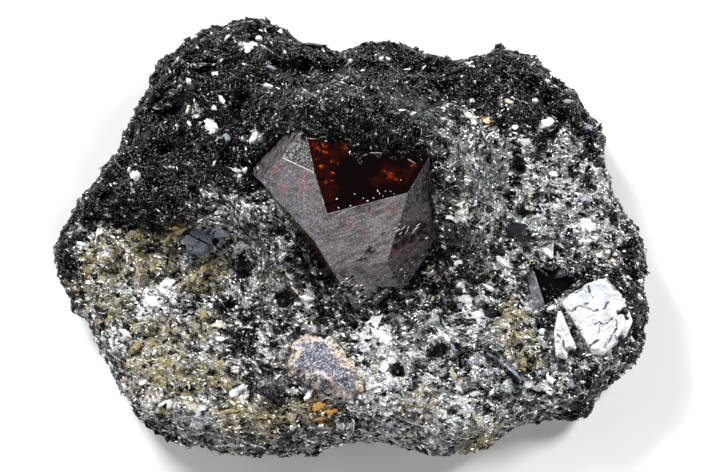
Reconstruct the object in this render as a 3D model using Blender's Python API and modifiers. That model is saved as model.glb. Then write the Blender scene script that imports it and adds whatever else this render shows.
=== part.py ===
"""Zircon in schist: a loose slab of dark mica schist with one large zircon crystal set deep in its face.

The slab lies on its flat parting face at z = 0, broken and ledged all round, and its relief rises towards the
crystal. Each crystal and cleavage book of its own sits in a pocket of its own shape. All sizes in this file are
in millimetres and are turned into metres by MM when a mesh is made.
"""

import math
from typing import NamedTuple

import bmesh
import bpy
from mathutils import Matrix, Vector, noise

MM = 0.001

# Driving dimensions, mm
GAP = 0.3                 # clearance that every pocket keeps round its crystal
RIM_HEIGHT = 9.4          # thickness of the slab near its broken edge
FOLIATION = 0.85          # spacing of the parting planes that show as ledges
LEDGE_SPACING = 1.4       # spacing of the thicker beds that show on the broken wall
LEDGE_DEPTH = 1.3         # how far one bed on the wall stands out from the next
UNDERCUT = 1.5            # how far the wall draws in at the foot
SHOULDER = 0.9            # how far the wall draws in at the top
EDGE_BAND = 4.5           # width of the band along the edge that the wall's shape reaches into
ROUGH_EDGE = 0.6          # sideways wander of the broken edge
EDGE_DROP = 1.3           # how far the face rounds down at the very edge
LUMP_RISE = 1.5           # height of the lumps that the mica wraps round
LUMP_SPAN = 6.5           # width of those lumps
CRAG_RISE = 1.9           # height of the sharp crests between broken flakes
CRAG_SPAN = 2.6           # width of those crests
LUMP_ROUGHNESS = 0.9      # how strongly the smaller lumps fade against the larger
LUMP_SHRINK = 2.1         # how much smaller each finer set of lumps is
LUMP_LAYERS = 3           # sets of lumps, coarse to fine
CREST_STRETCH = 1.3       # how much longer a crest is across the slab than along it
LEDGE_SLOPE = 0.35        # share of each parting step that is a slope, the rest is a short drop
FOOT_TOP = 0.35           # share of the wall's height where the undercut ends
SHOULDER_FOOT = 0.45      # share of the wall's height where the shoulder begins
SHOULDER_CURVE = 1.5      # how late the shoulder turns in
BED_WAVE = (9.0, 0.5)     # length of the waves in a bed on the wall, and their height in beds
LEDGE_LENGTH = 6.0        # length of the ledges along the wall
WANDER_LENGTH = 2.6       # length of the wander of the broken edge
SWELL_FADE = 1.4          # how fast a swell fades out from its middle
FURROW_END = 3.0          # widths over which a furrow fades out past its end
STEP_BACK = 0.6           # share of a step's reach after which the face comes back up
MERGE = 0.01              # distance within which points are joined
CUTTER_MARGIN = 4.0       # how far the block that a crystal is cut from stands out past its faces
FOOT_LEVEL = 0.1          # level at which the rough foot is cut flat
VOXEL = 0.7               # cell of the mesh that the relief is worked in
SLAB_FACES = 8000         # triangles kept in the slab before its pockets are cut

# Plan of the slab at its widest, mm, clockwise from the notch at the left end
OUTLINE = [
    (-35.6, -3.3), (-35.6, -1.0), (-34.4, 1.8), (-32.8, 4.6), (-30.0, 7.8), (-28.1, 10.3), (-27.2, 13.4),
    (-24.8, 19.1), (-23.0, 23.0), (-20.6, 24.6), (-19.0, 26.2), (-16.9, 26.8), (-14.5, 26.9), (-12.8, 28.1),
    (-10.9, 27.9), (-8.6, 27.0), (-6.2, 24.9), (-3.1, 24.5), (0.4, 24.1), (4.4, 24.8), (6.8, 24.4),
    (9.6, 22.9), (12.4, 22.7), (14.4, 23.5), (16.6, 23.7), (18.2, 24.9), (19.7, 23.9), (22.8, 23.0),
    (23.3, 21.7), (25.5, 20.2), (27.0, 19.0), (29.2, 15.5), (30.1, 13.1), (31.1, 8.9), (32.4, 4.9),
    (34.3, 1.2), (35.1, -1.5), (35.2, -6.6), (35.5, -8.5), (34.5, -12.2), (33.8, -14.0), (31.2, -17.2),
    (27.9, -20.5), (26.4, -20.6), (22.6, -20.9), (19.3, -22.2), (17.6, -23.3), (16.3, -24.7), (12.6, -25.5),
    (10.9, -25.7), (7.9, -24.6), (3.1, -24.0), (-2.0, -24.6), (-7.0, -26.0), (-10.9, -25.5), (-15.0, -25.3),
    (-20.4, -23.7), (-23.0, -23.2), (-25.4, -20.7), (-27.9, -16.0), (-31.2, -9.6), (-34.4, -4.8),
]


class Swell(NamedTuple):
    """A rise or hollow of the slab's face: an ellipse that fades out as a bell."""

    name: str
    x: float
    y: float
    length: float
    width: float
    turn: float
    rise: float


SWELLS = [
    Swell("hood behind the crystal", 1.6, 11.0, 12.0, 8.6, -10, 11.3),
    Swell("left wing of the hood", -5.6, 12.6, 4.6, 3.6, -10, 5.6),
    Swell("collar right of the crystal", 12.0, 3.5, 5.0, 9.0, 10, 5.6),
    Swell("shoulder left of the crystal", -15.0, 9.5, 8.0, 8.0, 0, 3.6),
    Swell("rib along the crystal's lower left", -9.0, -1.4, 8.4, 3.2, -56, 4.8),
    Swell("apron below the crystal", 3.0, -13.0, 17.0, 4.5, 4, 1.4),
    Swell("upper left mound", -16.0, 19.0, 8.0, 6.0, 20, 2.0),
    Swell("upper right mound", 18.0, 14.0, 9.0, 6.0, -20, 3.0),
    Swell("right mound", 24.0, 1.0, 7.0, 8.0, 0, 1.6),
    Swell("lower right swell", 16.0, -13.5, 9.0, 6.0, -35, 1.6),
    Swell("seat of the large mica book", 30.5, -10.5, 6.0, 6.0, 0, 1.5),
    Swell("front swell", -4.0, -18.5, 12.0, 5.0, 0, 1.0),
    Swell("left nose", -32.0, -1.0, 3.0, 3.0, 0, 1.2),
]


class Cut(NamedTuple):
    """A furrow or a step of the slab's face along a straight run from start to end."""

    name: str
    start: tuple
    end: tuple
    depth: float
    width: float
    is_step: bool


CUTS = [
    Cut("scarp of the weathered zone", (-31.0, 3.6), (-11.5, 0.4), 2.4, 1.4, True),
    Cut("hollow at the crystal's lower tip", (2.2, -9.4), (5.6, -9.6), 1.5, 2.0, False),
    Cut("overhang behind the hood", (-8.0, 20.2), (11.0, 20.0), 1.7, 1.2, False),
    Cut("overhang at the upper right", (22.0, 17.0), (28.5, 11.5), 1.4, 1.1, False),
    Cut("overhang at the upper left", (-23.0, 16.0), (-17.5, 13.0), 1.5, 1.0, False),
    Cut("furrow below the weathered scarp", (-23.0, -12.5), (-10.0, -17.0), 1.1, 1.4, False),
    Cut("bladed furrow at the lower right", (15.5, -14.5), (21.5, -20.0), 1.0, 0.8, False),
    Cut("furrow under the large mica book", (25.0, -15.0), (32.0, -14.5), 1.2, 1.0, False),
]
STEP_REACH = 11.0         # how far a step stays low before the face comes back up


class Facet(NamedTuple):
    """One flat face: tilt from level, azimuth that it looks towards and distance from the centre."""

    name: str
    tilt: float
    azimuth: float
    distance: float


ZIRCON_CENTRE = (-1.0, 2.0, 12.0)
ZIRCON_FACETS = [
    Facet("glossy top", 11.0, 44.5, 8.2),
    Facet("left pyramid", 42.5, -169.6, 8.13),
    Facet("scratched upper left", 39.9, -175.3, 8.47),
    Facet("front pyramid", 48.5, -63.4, 7.18),
    Facet("narrow front left", 91.0, -142.4, 5.82),
    Facet("front prism", 56.0, -51.4, 7.83),
    Facet("right side", 55.0, -21.6, 9.92),
    Facet("far left", 55.0, 162.8, 9.99),
    Facet("front root", 57.0, -66.7, 7.64),
    Facet("hidden back", 40.0, 70.0, 10.2),
    Facet("left underside", 125.0, -170.0, 8.6),
    Facet("right underside", 125.0, 5.0, 8.6),
    Facet("front underside", 128.0, -80.0, 10.8),
    Facet("back underside", 122.0, 95.0, 9.6),
    Facet("root", 180.0, 0.0, 6.6),
]


class Grain(NamedTuple):
    """A smaller crystal or cleavage book: its place, how far it stands proud, its sides and its faces."""

    name: str
    x: float
    y: float
    proud: float
    depth: float
    sides: list
    faces: list
    colour: tuple
    roughness: float


GRAINS = [
    Grain(
        "biotite_crystal", 23.3, -6.4, 1.1, 3.4,
        [(65, 1.8), (105, 3.1), (197, 2.2), (297, 2.1), (315, 2.3)],
        [Facet("black cleavage face", 9.0, 40.0, 0.0), Facet("grey side", 14.0, 197.0, 0.42)],
        (0.012, 0.012, 0.014), 0.12,
    ),
    Grain(
        "mica_book", 29.7, -10.2, 0.4, 2.6,
        [(18, 3.2), (41, 3.2), (90, 4.0), (122, 3.8), (140, 4.3), (212, 3.4), (278, 4.6), (309, 3.7), (335, 3.7)],
        [Facet("split face", 8.0, 320.0, 0.0), Facet("broken corner", 33.0, 20.0, 1.9)],
        (0.78, 0.80, 0.82), 0.25,
    ),
    Grain(
        "mica_wedge", 25.1, -13.3, 0.9, 1.9,
        [(23, 1.1), (98, 3.3), (169, 1.2), (185, 1.0), (252, 2.0), (317, 1.8)],
        [Facet("split face", 12.0, 300.0, 0.0)],
        (0.80, 0.81, 0.82), 0.25,
    ),
    Grain(
        "mica_flake", 23.5, -2.4, 0.8, 1.3,
        [(111, 0.7), (170, 1.2), (229, 0.6), (292, 1.1), (356, 0.6)],
        [Facet("split face", 10.0, 150.0, 0.0)],
        (0.55, 0.58, 0.62), 0.18,
    ),
    Grain(
        "feldspar_grain", -2.7, -17.0, 0.8, 2.6,
        [(3, 4.3), (43, 2.8), (82, 3.9), (125, 4.8), (178, 4.7), (247, 2.7), (259, 2.9), (291, 4.2)],
        [
            Facet("worn top", 6.0, 80.0, 0.0),
            Facet("left slope", 28.0, 190.0, 1.7),
            Facet("front slope", 30.0, 285.0, 0.9),
            Facet("right slope", 26.0, 25.0, 1.6),
        ],
        (0.42, 0.40, 0.46), 0.55,
    ),
    Grain(
        "small_biotite_crystal", -9.9, -18.7, 0.9, 2.0,
        [(-10, 1.6), (60, 1.0), (120, 1.0), (185, 1.3), (245, 1.1), (300, 1.2)],
        [Facet("grey top", 16.0, 110.0, 0.0), Facet("black front", 46.0, 285.0, 0.4)],
        (0.02, 0.02, 0.023), 0.15,
    ),
    Grain(
        "mica_plate", -18.2, -0.9, 0.9, 1.8,
        [(15, 1.5), (70, 1.3), (130, 1.6), (190, 1.6), (255, 1.3), (310, 1.3)],
        [Facet("split face", 14.0, 230.0, 0.0)],
        (0.20, 0.23, 0.29), 0.2,
    ),
]


def clear_scene():
    """Remove the objects that a new file opens with."""
    for obj in list(bpy.data.objects):
        bpy.data.objects.remove(obj, do_unlink=True)


def make_collection(name):
    """Return a new collection that is linked to the scene."""
    collection = bpy.data.collections.new(name)
    bpy.context.scene.collection.children.link(collection)
    return collection


def make_material(name, colour, roughness):
    """Return a Principled material of one colour and roughness."""
    material = bpy.data.materials.new(name)
    material.use_nodes = True
    shader = material.node_tree.nodes["Principled BSDF"]
    shader.inputs["Base Color"].default_value = (*colour, 1.0)
    shader.inputs["Roughness"].default_value = roughness
    shader.inputs["Metallic"].default_value = 0.0
    return material


def frozen(obj):
    """Return the object's mesh with its modifiers worked in."""
    depsgraph = bpy.context.evaluated_depsgraph_get()
    return bpy.data.meshes.new_from_object(obj.evaluated_get(depsgraph))


def swap_mesh(obj, mesh):
    """Give the object a finished mesh and drop the modifiers that made it."""
    obj.modifiers.clear()
    obj.data = mesh


def facet_normal(tilt, azimuth):
    """Return the unit vector that leans from upright by tilt towards azimuth, both in degrees."""
    lean, turn = math.radians(tilt), math.radians(azimuth)
    return Vector((math.sin(lean) * math.cos(turn), math.sin(lean) * math.sin(turn), math.cos(lean)))


def cut_crystal(name, centre, facets, grow=0.0):
    """Return a convex crystal: a block cut back to each facet, set out by grow."""
    reach = 2.0 * max(facet.distance for facet in facets) + CUTTER_MARGIN
    bm = bmesh.new()
    bmesh.ops.create_cube(bm, size=2.0 * reach * MM, matrix=Matrix.Translation(centre * MM))
    for facet in facets:
        normal = facet_normal(facet.tilt, facet.azimuth)
        point = (centre + normal * (facet.distance + grow)) * MM
        parts = bm.verts[:] + bm.edges[:] + bm.faces[:]
        cut = bmesh.ops.bisect_plane(bm, geom=parts, dist=1e-7, plane_co=point, plane_no=normal, clear_outer=True)
        rim = [item for item in cut["geom_cut"] if isinstance(item, bmesh.types.BMEdge)]
        if rim:
            bmesh.ops.contextual_create(bm, geom=rim)
    bmesh.ops.remove_doubles(bm, verts=bm.verts, dist=MERGE * MM)
    bmesh.ops.recalc_face_normals(bm, faces=bm.faces)
    mesh = bpy.data.meshes.new(name)
    bm.to_mesh(mesh)
    bm.free()
    return bpy.data.objects.new(name, mesh)


def grain_facets(grain):
    """Return all the facets of a smaller grain: upright sides, the faces on top and a level foot."""
    sides = [Facet("side", 90.0, azimuth, distance) for azimuth, distance in grain.sides]
    return sides + grain.faces + [Facet("foot", 180.0, 0.0, grain.depth)]


def nearest_on_outline(point):
    """Return the distance to the slab's outline and the unit vector that points inward from it."""
    best = None
    for start, end in zip(OUTLINE, OUTLINE[1:] + OUTLINE[:1]):
        a, b = Vector(start), Vector(end)
        along = b - a
        share = max(0.0, min(1.0, (point - a).dot(along) / along.length_squared))
        away = point - (a + along * share)
        if best is None or away.length < best[0]:
            best = (away.length, Vector((along.y, -along.x)).normalized())
    return best


def smooth(value):
    """Return a soft ramp from 0 to 1 over the values 0 to 1."""
    value = max(0.0, min(1.0, value))
    return value * value * (3.0 - 2.0 * value)


def swell_rise(swell, x, y):
    """Return how high one swell stands at a point."""
    turn = math.radians(swell.turn)
    dx, dy = x - swell.x, y - swell.y
    along = (dx * math.cos(turn) + dy * math.sin(turn)) / swell.length
    across = (dy * math.cos(turn) - dx * math.sin(turn)) / swell.width
    return swell.rise * math.exp(-SWELL_FADE * (along * along + across * across))


def cut_drop(cut, x, y):
    """Return how deep one furrow or step goes at a point; a step is low on the right of its run."""
    start, end = Vector(cut.start), Vector(cut.end)
    along = (end - start).normalized()
    offset = Vector((x, y)) - start
    run, side = offset.dot(along), offset.cross(along)
    past_end = max(0.0, -run, run - (end - start).length)
    fade = 1.0 - smooth(past_end / (FURROW_END * cut.width))
    if cut.is_step:
        return cut.depth * fade * smooth(side / cut.width) * (1.0 - smooth(side / STEP_REACH - STEP_BACK))
    return cut.depth * fade * math.exp(-((side / cut.width) ** 2))


def broad_height(x, y):
    """Return the height of the slab's face without its fine roughness."""
    height = RIM_HEIGHT + sum(swell_rise(swell, x, y) for swell in SWELLS)
    return height - sum(cut_drop(cut, x, y) for cut in CUTS)


def face_height(x, y):
    """Return the height of the slab's face: broad relief, lumps, crests and foliation ledges."""
    lumps = noise.fractal(Vector((x, y, 3.7)) / LUMP_SPAN, LUMP_ROUGHNESS, LUMP_SHRINK, LUMP_LAYERS)
    crests = 0.5 - abs(noise.noise(Vector((x, y * CREST_STRETCH, 11.3)) / CRAG_SPAN))
    height = broad_height(x, y) + LUMP_RISE * lumps + CRAG_RISE * crests
    ledge = height / FOLIATION
    step = math.floor(ledge)
    drop = (1.0 - LEDGE_SLOPE) * smooth(2.0 * (ledge - step) - 0.5)
    return FOLIATION * (step + LEDGE_SLOPE * (ledge - step) + drop)


def wall_inset(level, x, y):
    """Return how far the wall draws in at a level from 0 at the foot to 1 at the face."""
    foot = UNDERCUT * (1.0 - smooth(level / FOOT_TOP))
    shoulder = SHOULDER * smooth((level - SHOULDER_FOOT) / (1.0 - SHOULDER_FOOT)) ** SHOULDER_CURVE
    wave_length, wave_height = BED_WAVE
    wave = wave_height * noise.noise(Vector((x, y, 4.1)) / wave_length)
    bed = math.floor(level * RIM_HEIGHT / LEDGE_SPACING + wave)
    ledge = LEDGE_DEPTH * noise.noise(Vector((x / LEDGE_LENGTH, y / LEDGE_LENGTH, 7.3 * bed)))
    wander = ROUGH_EDGE * noise.noise(Vector((x / WANDER_LENGTH, y / WANDER_LENGTH, level * 2.0)))
    return foot + shoulder + ledge + wander


def shape_slab(mesh):
    """Move the points of the plain slab onto its relief and its broken wall."""
    for vert in mesh.vertices:
        x, y, z = vert.co / MM
        level = max(0.0, min(1.0, z / RIM_HEIGHT))
        distance, inward = nearest_on_outline(Vector((x, y)))
        reach = max(0.0, 1.0 - distance / EDGE_BAND) ** 2
        offset = inward * wall_inset(level, x, y) * reach
        top = face_height(x, y) - EDGE_DROP * reach
        vert.co = Vector((x + offset.x, y + offset.y, level * top)) * MM


def make_slab(collection, material):
    """Build the schist slab up to its relief, before its pockets are cut."""
    curve = bpy.data.curves.new("slab_plan", "CURVE")
    curve.dimensions = "2D"
    curve.fill_mode = "BOTH"
    curve.extrude = RIM_HEIGHT * MM / 2.0
    spline = curve.splines.new("POLY")
    spline.points.add(len(OUTLINE) - 1)
    for point, (x, y) in zip(spline.points, OUTLINE):
        point.co = (x * MM, y * MM, 0.0, 1.0)
    spline.use_cyclic_u = True
    plan = bpy.data.objects.new("slab_plan", curve)
    plan.location.z = RIM_HEIGHT * MM / 2.0
    collection.objects.link(plan)
    bpy.context.view_layer.update()
    mesh = frozen(plan)
    mesh.transform(plan.matrix_world)
    bpy.data.objects.remove(plan, do_unlink=True)
    bm = bmesh.new()
    bm.from_mesh(mesh)
    bmesh.ops.remove_doubles(bm, verts=bm.verts, dist=MERGE * MM)
    bm.to_mesh(mesh)
    bm.free()
    slab = bpy.data.objects.new("schist_matrix", mesh)
    collection.objects.link(slab)
    cells = slab.modifiers.new("cells", "REMESH")
    cells.mode = "VOXEL"
    cells.voxel_size = VOXEL * MM
    swap_mesh(slab, frozen(slab))
    shape_slab(slab.data)
    thin = slab.modifiers.new("thin", "DECIMATE")
    thin.ratio = SLAB_FACES / (2.0 * len(slab.data.polygons))
    swap_mesh(slab, frozen(slab))
    flatten_foot(slab.data)
    slab.data.materials.clear()
    slab.data.materials.append(material)
    return slab


def flatten_foot(mesh):
    """Cut the slab level at z = 0, so that it rests on one flat parting face."""
    bm = bmesh.new()
    bm.from_mesh(mesh)
    parts = bm.verts[:] + bm.edges[:] + bm.faces[:]
    level = Vector((0.0, 0.0, FOOT_LEVEL * MM))
    cut = bmesh.ops.bisect_plane(bm, geom=parts, dist=1e-7, plane_co=level, plane_no=(0, 0, -1), clear_outer=True)
    rim = [item for item in cut["geom_cut"] if isinstance(item, bmesh.types.BMEdge)]
    bmesh.ops.contextual_create(bm, geom=rim)
    bmesh.ops.triangulate(bm, faces=bm.faces)
    bmesh.ops.translate(bm, verts=bm.verts, vec=-level)
    bm.to_mesh(mesh)
    bm.free()


def cut_pocket(slab, cutter, cutters):
    """Sink a pocket into the slab with a cutter, which is kept as a wire guide."""
    cutters.objects.link(cutter)
    cutter.hide_render = True
    cutter.display_type = "WIRE"
    pocket = slab.modifiers.new(cutter.name, "BOOLEAN")
    pocket.operation = "DIFFERENCE"
    pocket.solver = "EXACT"
    pocket.object = cutter


def keep_largest_body(mesh):
    """Drop crumbs that a pocket cut loose from the slab."""
    bm = bmesh.new()
    bm.from_mesh(mesh)
    waiting = set(bm.verts)
    bodies = []
    while waiting:
        edge_of_body = [waiting.pop()]
        body = set(edge_of_body)
        while edge_of_body:
            vert = edge_of_body.pop()
            for edge in vert.link_edges:
                other = edge.other_vert(vert)
                if other not in body:
                    body.add(other)
                    edge_of_body.append(other)
        waiting -= body
        bodies.append(body)
    bodies.sort(key=len)
    for body in bodies[:-1]:
        bmesh.ops.delete(bm, geom=list(body), context="VERTS")
    bm.to_mesh(mesh)
    bm.free()


def centre_on_origin(objects):
    """Move all the pieces so that the middle of the slab's foot is the origin."""
    slab = objects[0]
    corners = [Vector(corner) for corner in slab.bound_box]
    low = Vector(min(corner[axis] for corner in corners) for axis in range(3))
    high = Vector(max(corner[axis] for corner in corners) for axis in range(3))
    shift = Vector((-(low.x + high.x) / 2.0, -(low.y + high.y) / 2.0, -low.z))
    for obj in objects:
        obj.data.transform(Matrix.Translation(shift))


def main():
    """Build every piece of the specimen."""
    clear_scene()
    pieces = make_collection("zircon_in_schist")
    cutters = make_collection("cutters")

    slab = make_slab(pieces, make_material("biotite_schist", (0.045, 0.045, 0.048), 0.4))

    zircon_centre = Vector(ZIRCON_CENTRE)
    zircon = cut_crystal("zircon_crystal", zircon_centre, ZIRCON_FACETS)
    zircon.data.materials.append(make_material("red_zircon", (0.10, 0.012, 0.012), 0.15))
    cut_pocket(slab, cut_crystal("zircon_pocket", zircon_centre, ZIRCON_FACETS, GAP), cutters)
    crystals = [zircon]

    for grain in GRAINS:
        centre = Vector((grain.x, grain.y, face_height(grain.x, grain.y) + grain.proud))
        facets = grain_facets(grain)
        crystal = cut_crystal(grain.name, centre, facets)
        crystal.data.materials.append(make_material(grain.name + "_finish", grain.colour, grain.roughness))
        cut_pocket(slab, cut_crystal(grain.name + "_pocket", centre, facets, GAP), cutters)
        crystals.append(crystal)

    for crystal in crystals:
        pieces.objects.link(crystal)
    swap_mesh(slab, frozen(slab))
    keep_largest_body(slab.data)
    centre_on_origin([slab] + crystals)


main()
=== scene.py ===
"""Zircon in schist: the finished look of the specimen.

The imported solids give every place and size. The slab gets its broken, scaly surface and its coat of mica
flakes, each crystal its faces, cracks and finish, and the whole lies on a plain pale table under soft light.
Lengths in this file are in millimetres unless a name says otherwise; MM turns them into metres.
"""

from __future__ import annotations

import logging
import math
from collections.abc import Callable, Iterator
from contextlib import contextmanager
from dataclasses import dataclass, field
from enum import Enum
from functools import partial
from typing import NamedTuple

import bmesh
import bpy
import numpy as np
from mathutils import Matrix, Vector, noise
from mathutils.bvhtree import BVHTree

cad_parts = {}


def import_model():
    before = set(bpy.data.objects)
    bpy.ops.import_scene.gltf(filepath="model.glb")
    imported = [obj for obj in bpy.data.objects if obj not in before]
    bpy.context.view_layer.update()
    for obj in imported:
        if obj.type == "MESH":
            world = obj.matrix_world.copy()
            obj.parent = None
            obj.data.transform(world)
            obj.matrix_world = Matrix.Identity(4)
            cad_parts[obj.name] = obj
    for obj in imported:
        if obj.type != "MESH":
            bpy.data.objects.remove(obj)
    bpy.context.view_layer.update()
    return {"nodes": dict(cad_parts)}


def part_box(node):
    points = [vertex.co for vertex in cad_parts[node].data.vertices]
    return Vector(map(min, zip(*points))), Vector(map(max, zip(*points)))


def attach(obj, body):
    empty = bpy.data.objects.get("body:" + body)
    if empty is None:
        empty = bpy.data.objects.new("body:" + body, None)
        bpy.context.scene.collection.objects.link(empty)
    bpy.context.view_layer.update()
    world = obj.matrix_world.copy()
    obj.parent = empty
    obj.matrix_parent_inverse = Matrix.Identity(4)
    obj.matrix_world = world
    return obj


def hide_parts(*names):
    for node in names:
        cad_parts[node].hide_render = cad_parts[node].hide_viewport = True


MM = 0.001
WELD = 0.002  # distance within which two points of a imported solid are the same, in millimetres
LOG = logging.getLogger("zircon_in_schist")
Array = np.ndarray
Inputs = dict | tuple
Material, Mesh, Piece = bpy.types.Material, bpy.types.Mesh, bpy.types.Object
Node, Socket, Tree = bpy.types.Node, bpy.types.NodeSocket, bpy.types.NodeTree
Adder = Callable[..., Node]
Spots = tuple[tuple[float, ...], ...]

# Sockets of the Mix node that takes colours
SHARE, UNDER, OVER = 0, 6, 7


# ------------------------------ small helpers


def linear(hex_code: str) -> Array:
    """Turn an sRGB hex colour into linear light.

    Args:
        hex_code: Six hex digits, such as "d8c9a2".

    Returns:
        The red, green and blue shares in linear light.
    """
    shares = [int(hex_code[start : start + 2], 16) / 255.0 for start in (0, 2, 4)]
    return np.array([s / 12.92 if s <= 0.04045 else ((s + 0.055) / 1.055) ** 2.4 for s in shares])


def feed(node: Node, inputs: Inputs) -> None:
    """Set a node's inputs.

    Args:
        node: The node.
        inputs: Values by socket name or number, or in the sockets' order. A value may also be a hex colour,
            an output, or a node, for its first live output.
    """
    for name, value in inputs.items() if isinstance(inputs, dict) else enumerate(inputs):
        if isinstance(value, Node):
            value = next(output for output in value.outputs if output.enabled)
        if isinstance(value, Socket):
            node.id_data.links.new(value, node.inputs[name])
        else:
            node.inputs[name].default_value = (*linear(value), 1.0) if isinstance(value, str) else value


def add_node(tree: Tree, kind: str, inputs: Inputs = (), **settings) -> Node:
    """Add one shader node with its settings and links.

    Args:
        tree: The material's node tree.
        kind: The node's type name, without the ShaderNode that all begin with.
        inputs: Its inputs, as feed takes them.
        **settings: The node's own properties.

    Returns:
        The new node.
    """
    node = tree.nodes.new("ShaderNode" + kind)
    for name, value in settings.items():
        setattr(node, name, value)
    feed(node, inputs)
    return node


def held(values: Array) -> Array:
    """Return the values held between nought and one."""
    return np.clip(values, 0.0, 1.0)


def deselect_all() -> None:
    """Leave nothing selected and no piece active."""
    for item in bpy.context.selected_objects:
        item.select_set(False)
    bpy.context.view_layer.objects.active = None


def activate(piece: Piece) -> None:
    """Select one piece alone and make it active.

    Args:
        piece: The piece.
    """
    deselect_all()
    piece.select_set(True)
    bpy.context.view_layer.objects.active = piece


def placed(name: str, data: bpy.types.ID) -> Piece:
    """Put a new object in the scene.

    Args:
        name: Its name.
        data: Its mesh, lamp or camera.

    Returns:
        The object.
    """
    item = bpy.data.objects.new(name, data)
    bpy.context.scene.collection.objects.link(item)
    return item


@contextmanager
def all_in_edit(piece: Piece) -> Iterator[None]:
    """Hold a piece in edit mode with all of it selected.

    Args:
        piece: The piece.

    Yields:
        Nothing.
    """
    activate(piece)
    bpy.ops.object.mode_set(mode="EDIT")
    bpy.ops.mesh.select_all(action="SELECT")
    yield
    bpy.ops.object.mode_set(mode="OBJECT")


def copy_of_node(node: Piece, name: str) -> Piece:
    """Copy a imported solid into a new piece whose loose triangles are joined.

    Args:
        node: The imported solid.
        name: The new piece's name.

    Returns:
        The new piece, with merged points, flat faces and no material.
    """
    mesh = node.data.copy()
    mesh.name = name
    mesh.materials.clear()
    piece = placed(name, mesh)
    with all_in_edit(piece):
        bpy.ops.mesh.remove_doubles(threshold=WELD * MM)
        bpy.ops.mesh.customdata_custom_splitnormals_clear()
        bpy.ops.mesh.faces_shade_flat()
    return piece


def read_points(mesh: Mesh) -> Array:
    """Read a mesh's points.

    Args:
        mesh: The mesh.

    Returns:
        Its points in millimetres, one row each.
    """
    points = np.zeros(len(mesh.vertices) * 3)
    mesh.vertices.foreach_get("co", points)
    return points.reshape(-1, 3) / MM


def write_points(mesh: Mesh, points: Array) -> None:
    """Set the mesh's points from millimetres."""
    mesh.vertices.foreach_set("co", (points * MM).ravel())
    mesh.update()


def paint(mesh: Mesh, colours: Array) -> None:
    """Store a mesh's colours as the Tint attribute, which a finish can read.

    Args:
        mesh: The mesh.
        colours: One linear colour a point, or one a face corner.
    """
    domain = "POINT" if len(colours) == len(mesh.vertices) else "CORNER"
    layer = mesh.attributes.new("Tint", "FLOAT_COLOR", domain)
    layer.data.foreach_set("color", np.column_stack([colours, np.ones(len(colours))]).ravel())


def face_planes(node: Piece) -> tuple[Array, Array]:
    """Read the planes of a convex solid.

    Args:
        node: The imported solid.

    Returns:
        The outward unit normals and the offsets of its faces, in millimetres.
    """
    mesh = node.data
    points = read_points(mesh)
    corners = np.array([polygon.vertices[:3] for polygon in mesh.polygons])
    a, b, c = (points[corners[:, i]] for i in range(3))
    normals = np.cross(b - a, c - a)
    normals /= np.linalg.norm(normals, axis=1, keepdims=True)
    return normals, np.einsum("ij,ij->i", normals, a)


def outside_by(points: Array, planes: tuple[Array, Array]) -> Array:
    """Return how far each point lies outside a convex solid; inside it the value is below zero."""
    normals, offsets = planes
    return (points @ normals.T - offsets).max(axis=1)


def finish_piece(piece: Piece, node: str | None = None) -> None:
    """Hand a finished piece to the frame.

    Args:
        piece: The finished piece.
        node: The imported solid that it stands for, if any.
    """
    if node is not None:
        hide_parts(node)
    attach(piece, "root")


# ------------------------------ colour zones of the slab


class Tone(Enum):
    """What a grain or a patch of the schist's face is made of."""

    BIOTITE = "biotite"
    GRAPHITE = "graphite"
    SILVER = "silver"
    CHALK = "chalk"
    CREAM = "cream"
    OCHRE = "ochre"
    RUST = "rust"
    SAGE = "sage"
    STEEL = "steel"


BIOTITE, GRAPHITE, SILVER, CHALK, CREAM, OCHRE, RUST, SAGE, STEEL = Tone

TONE_COLOURS = {
    BIOTITE: "050506",
    GRAPHITE: "2a2b2e",
    SILVER: "dcdee0",
    CHALK: "f4f5f7",
    CREAM: "e4dac8",
    OCHRE: "a0936c",
    RUST: "c09040",
    SAGE: "9aa29a",
    STEEL: "8c97a6",
}

BASE_SHARES = {
    BIOTITE: 0.62,
    GRAPHITE: 0.03,
    SILVER: 0.32,
    CHALK: 0.1,
    CREAM: 0.01,
    OCHRE: 0.004,
    RUST: 0.0,
    SAGE: 0.01,
    STEEL: 0.012,
}

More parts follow.
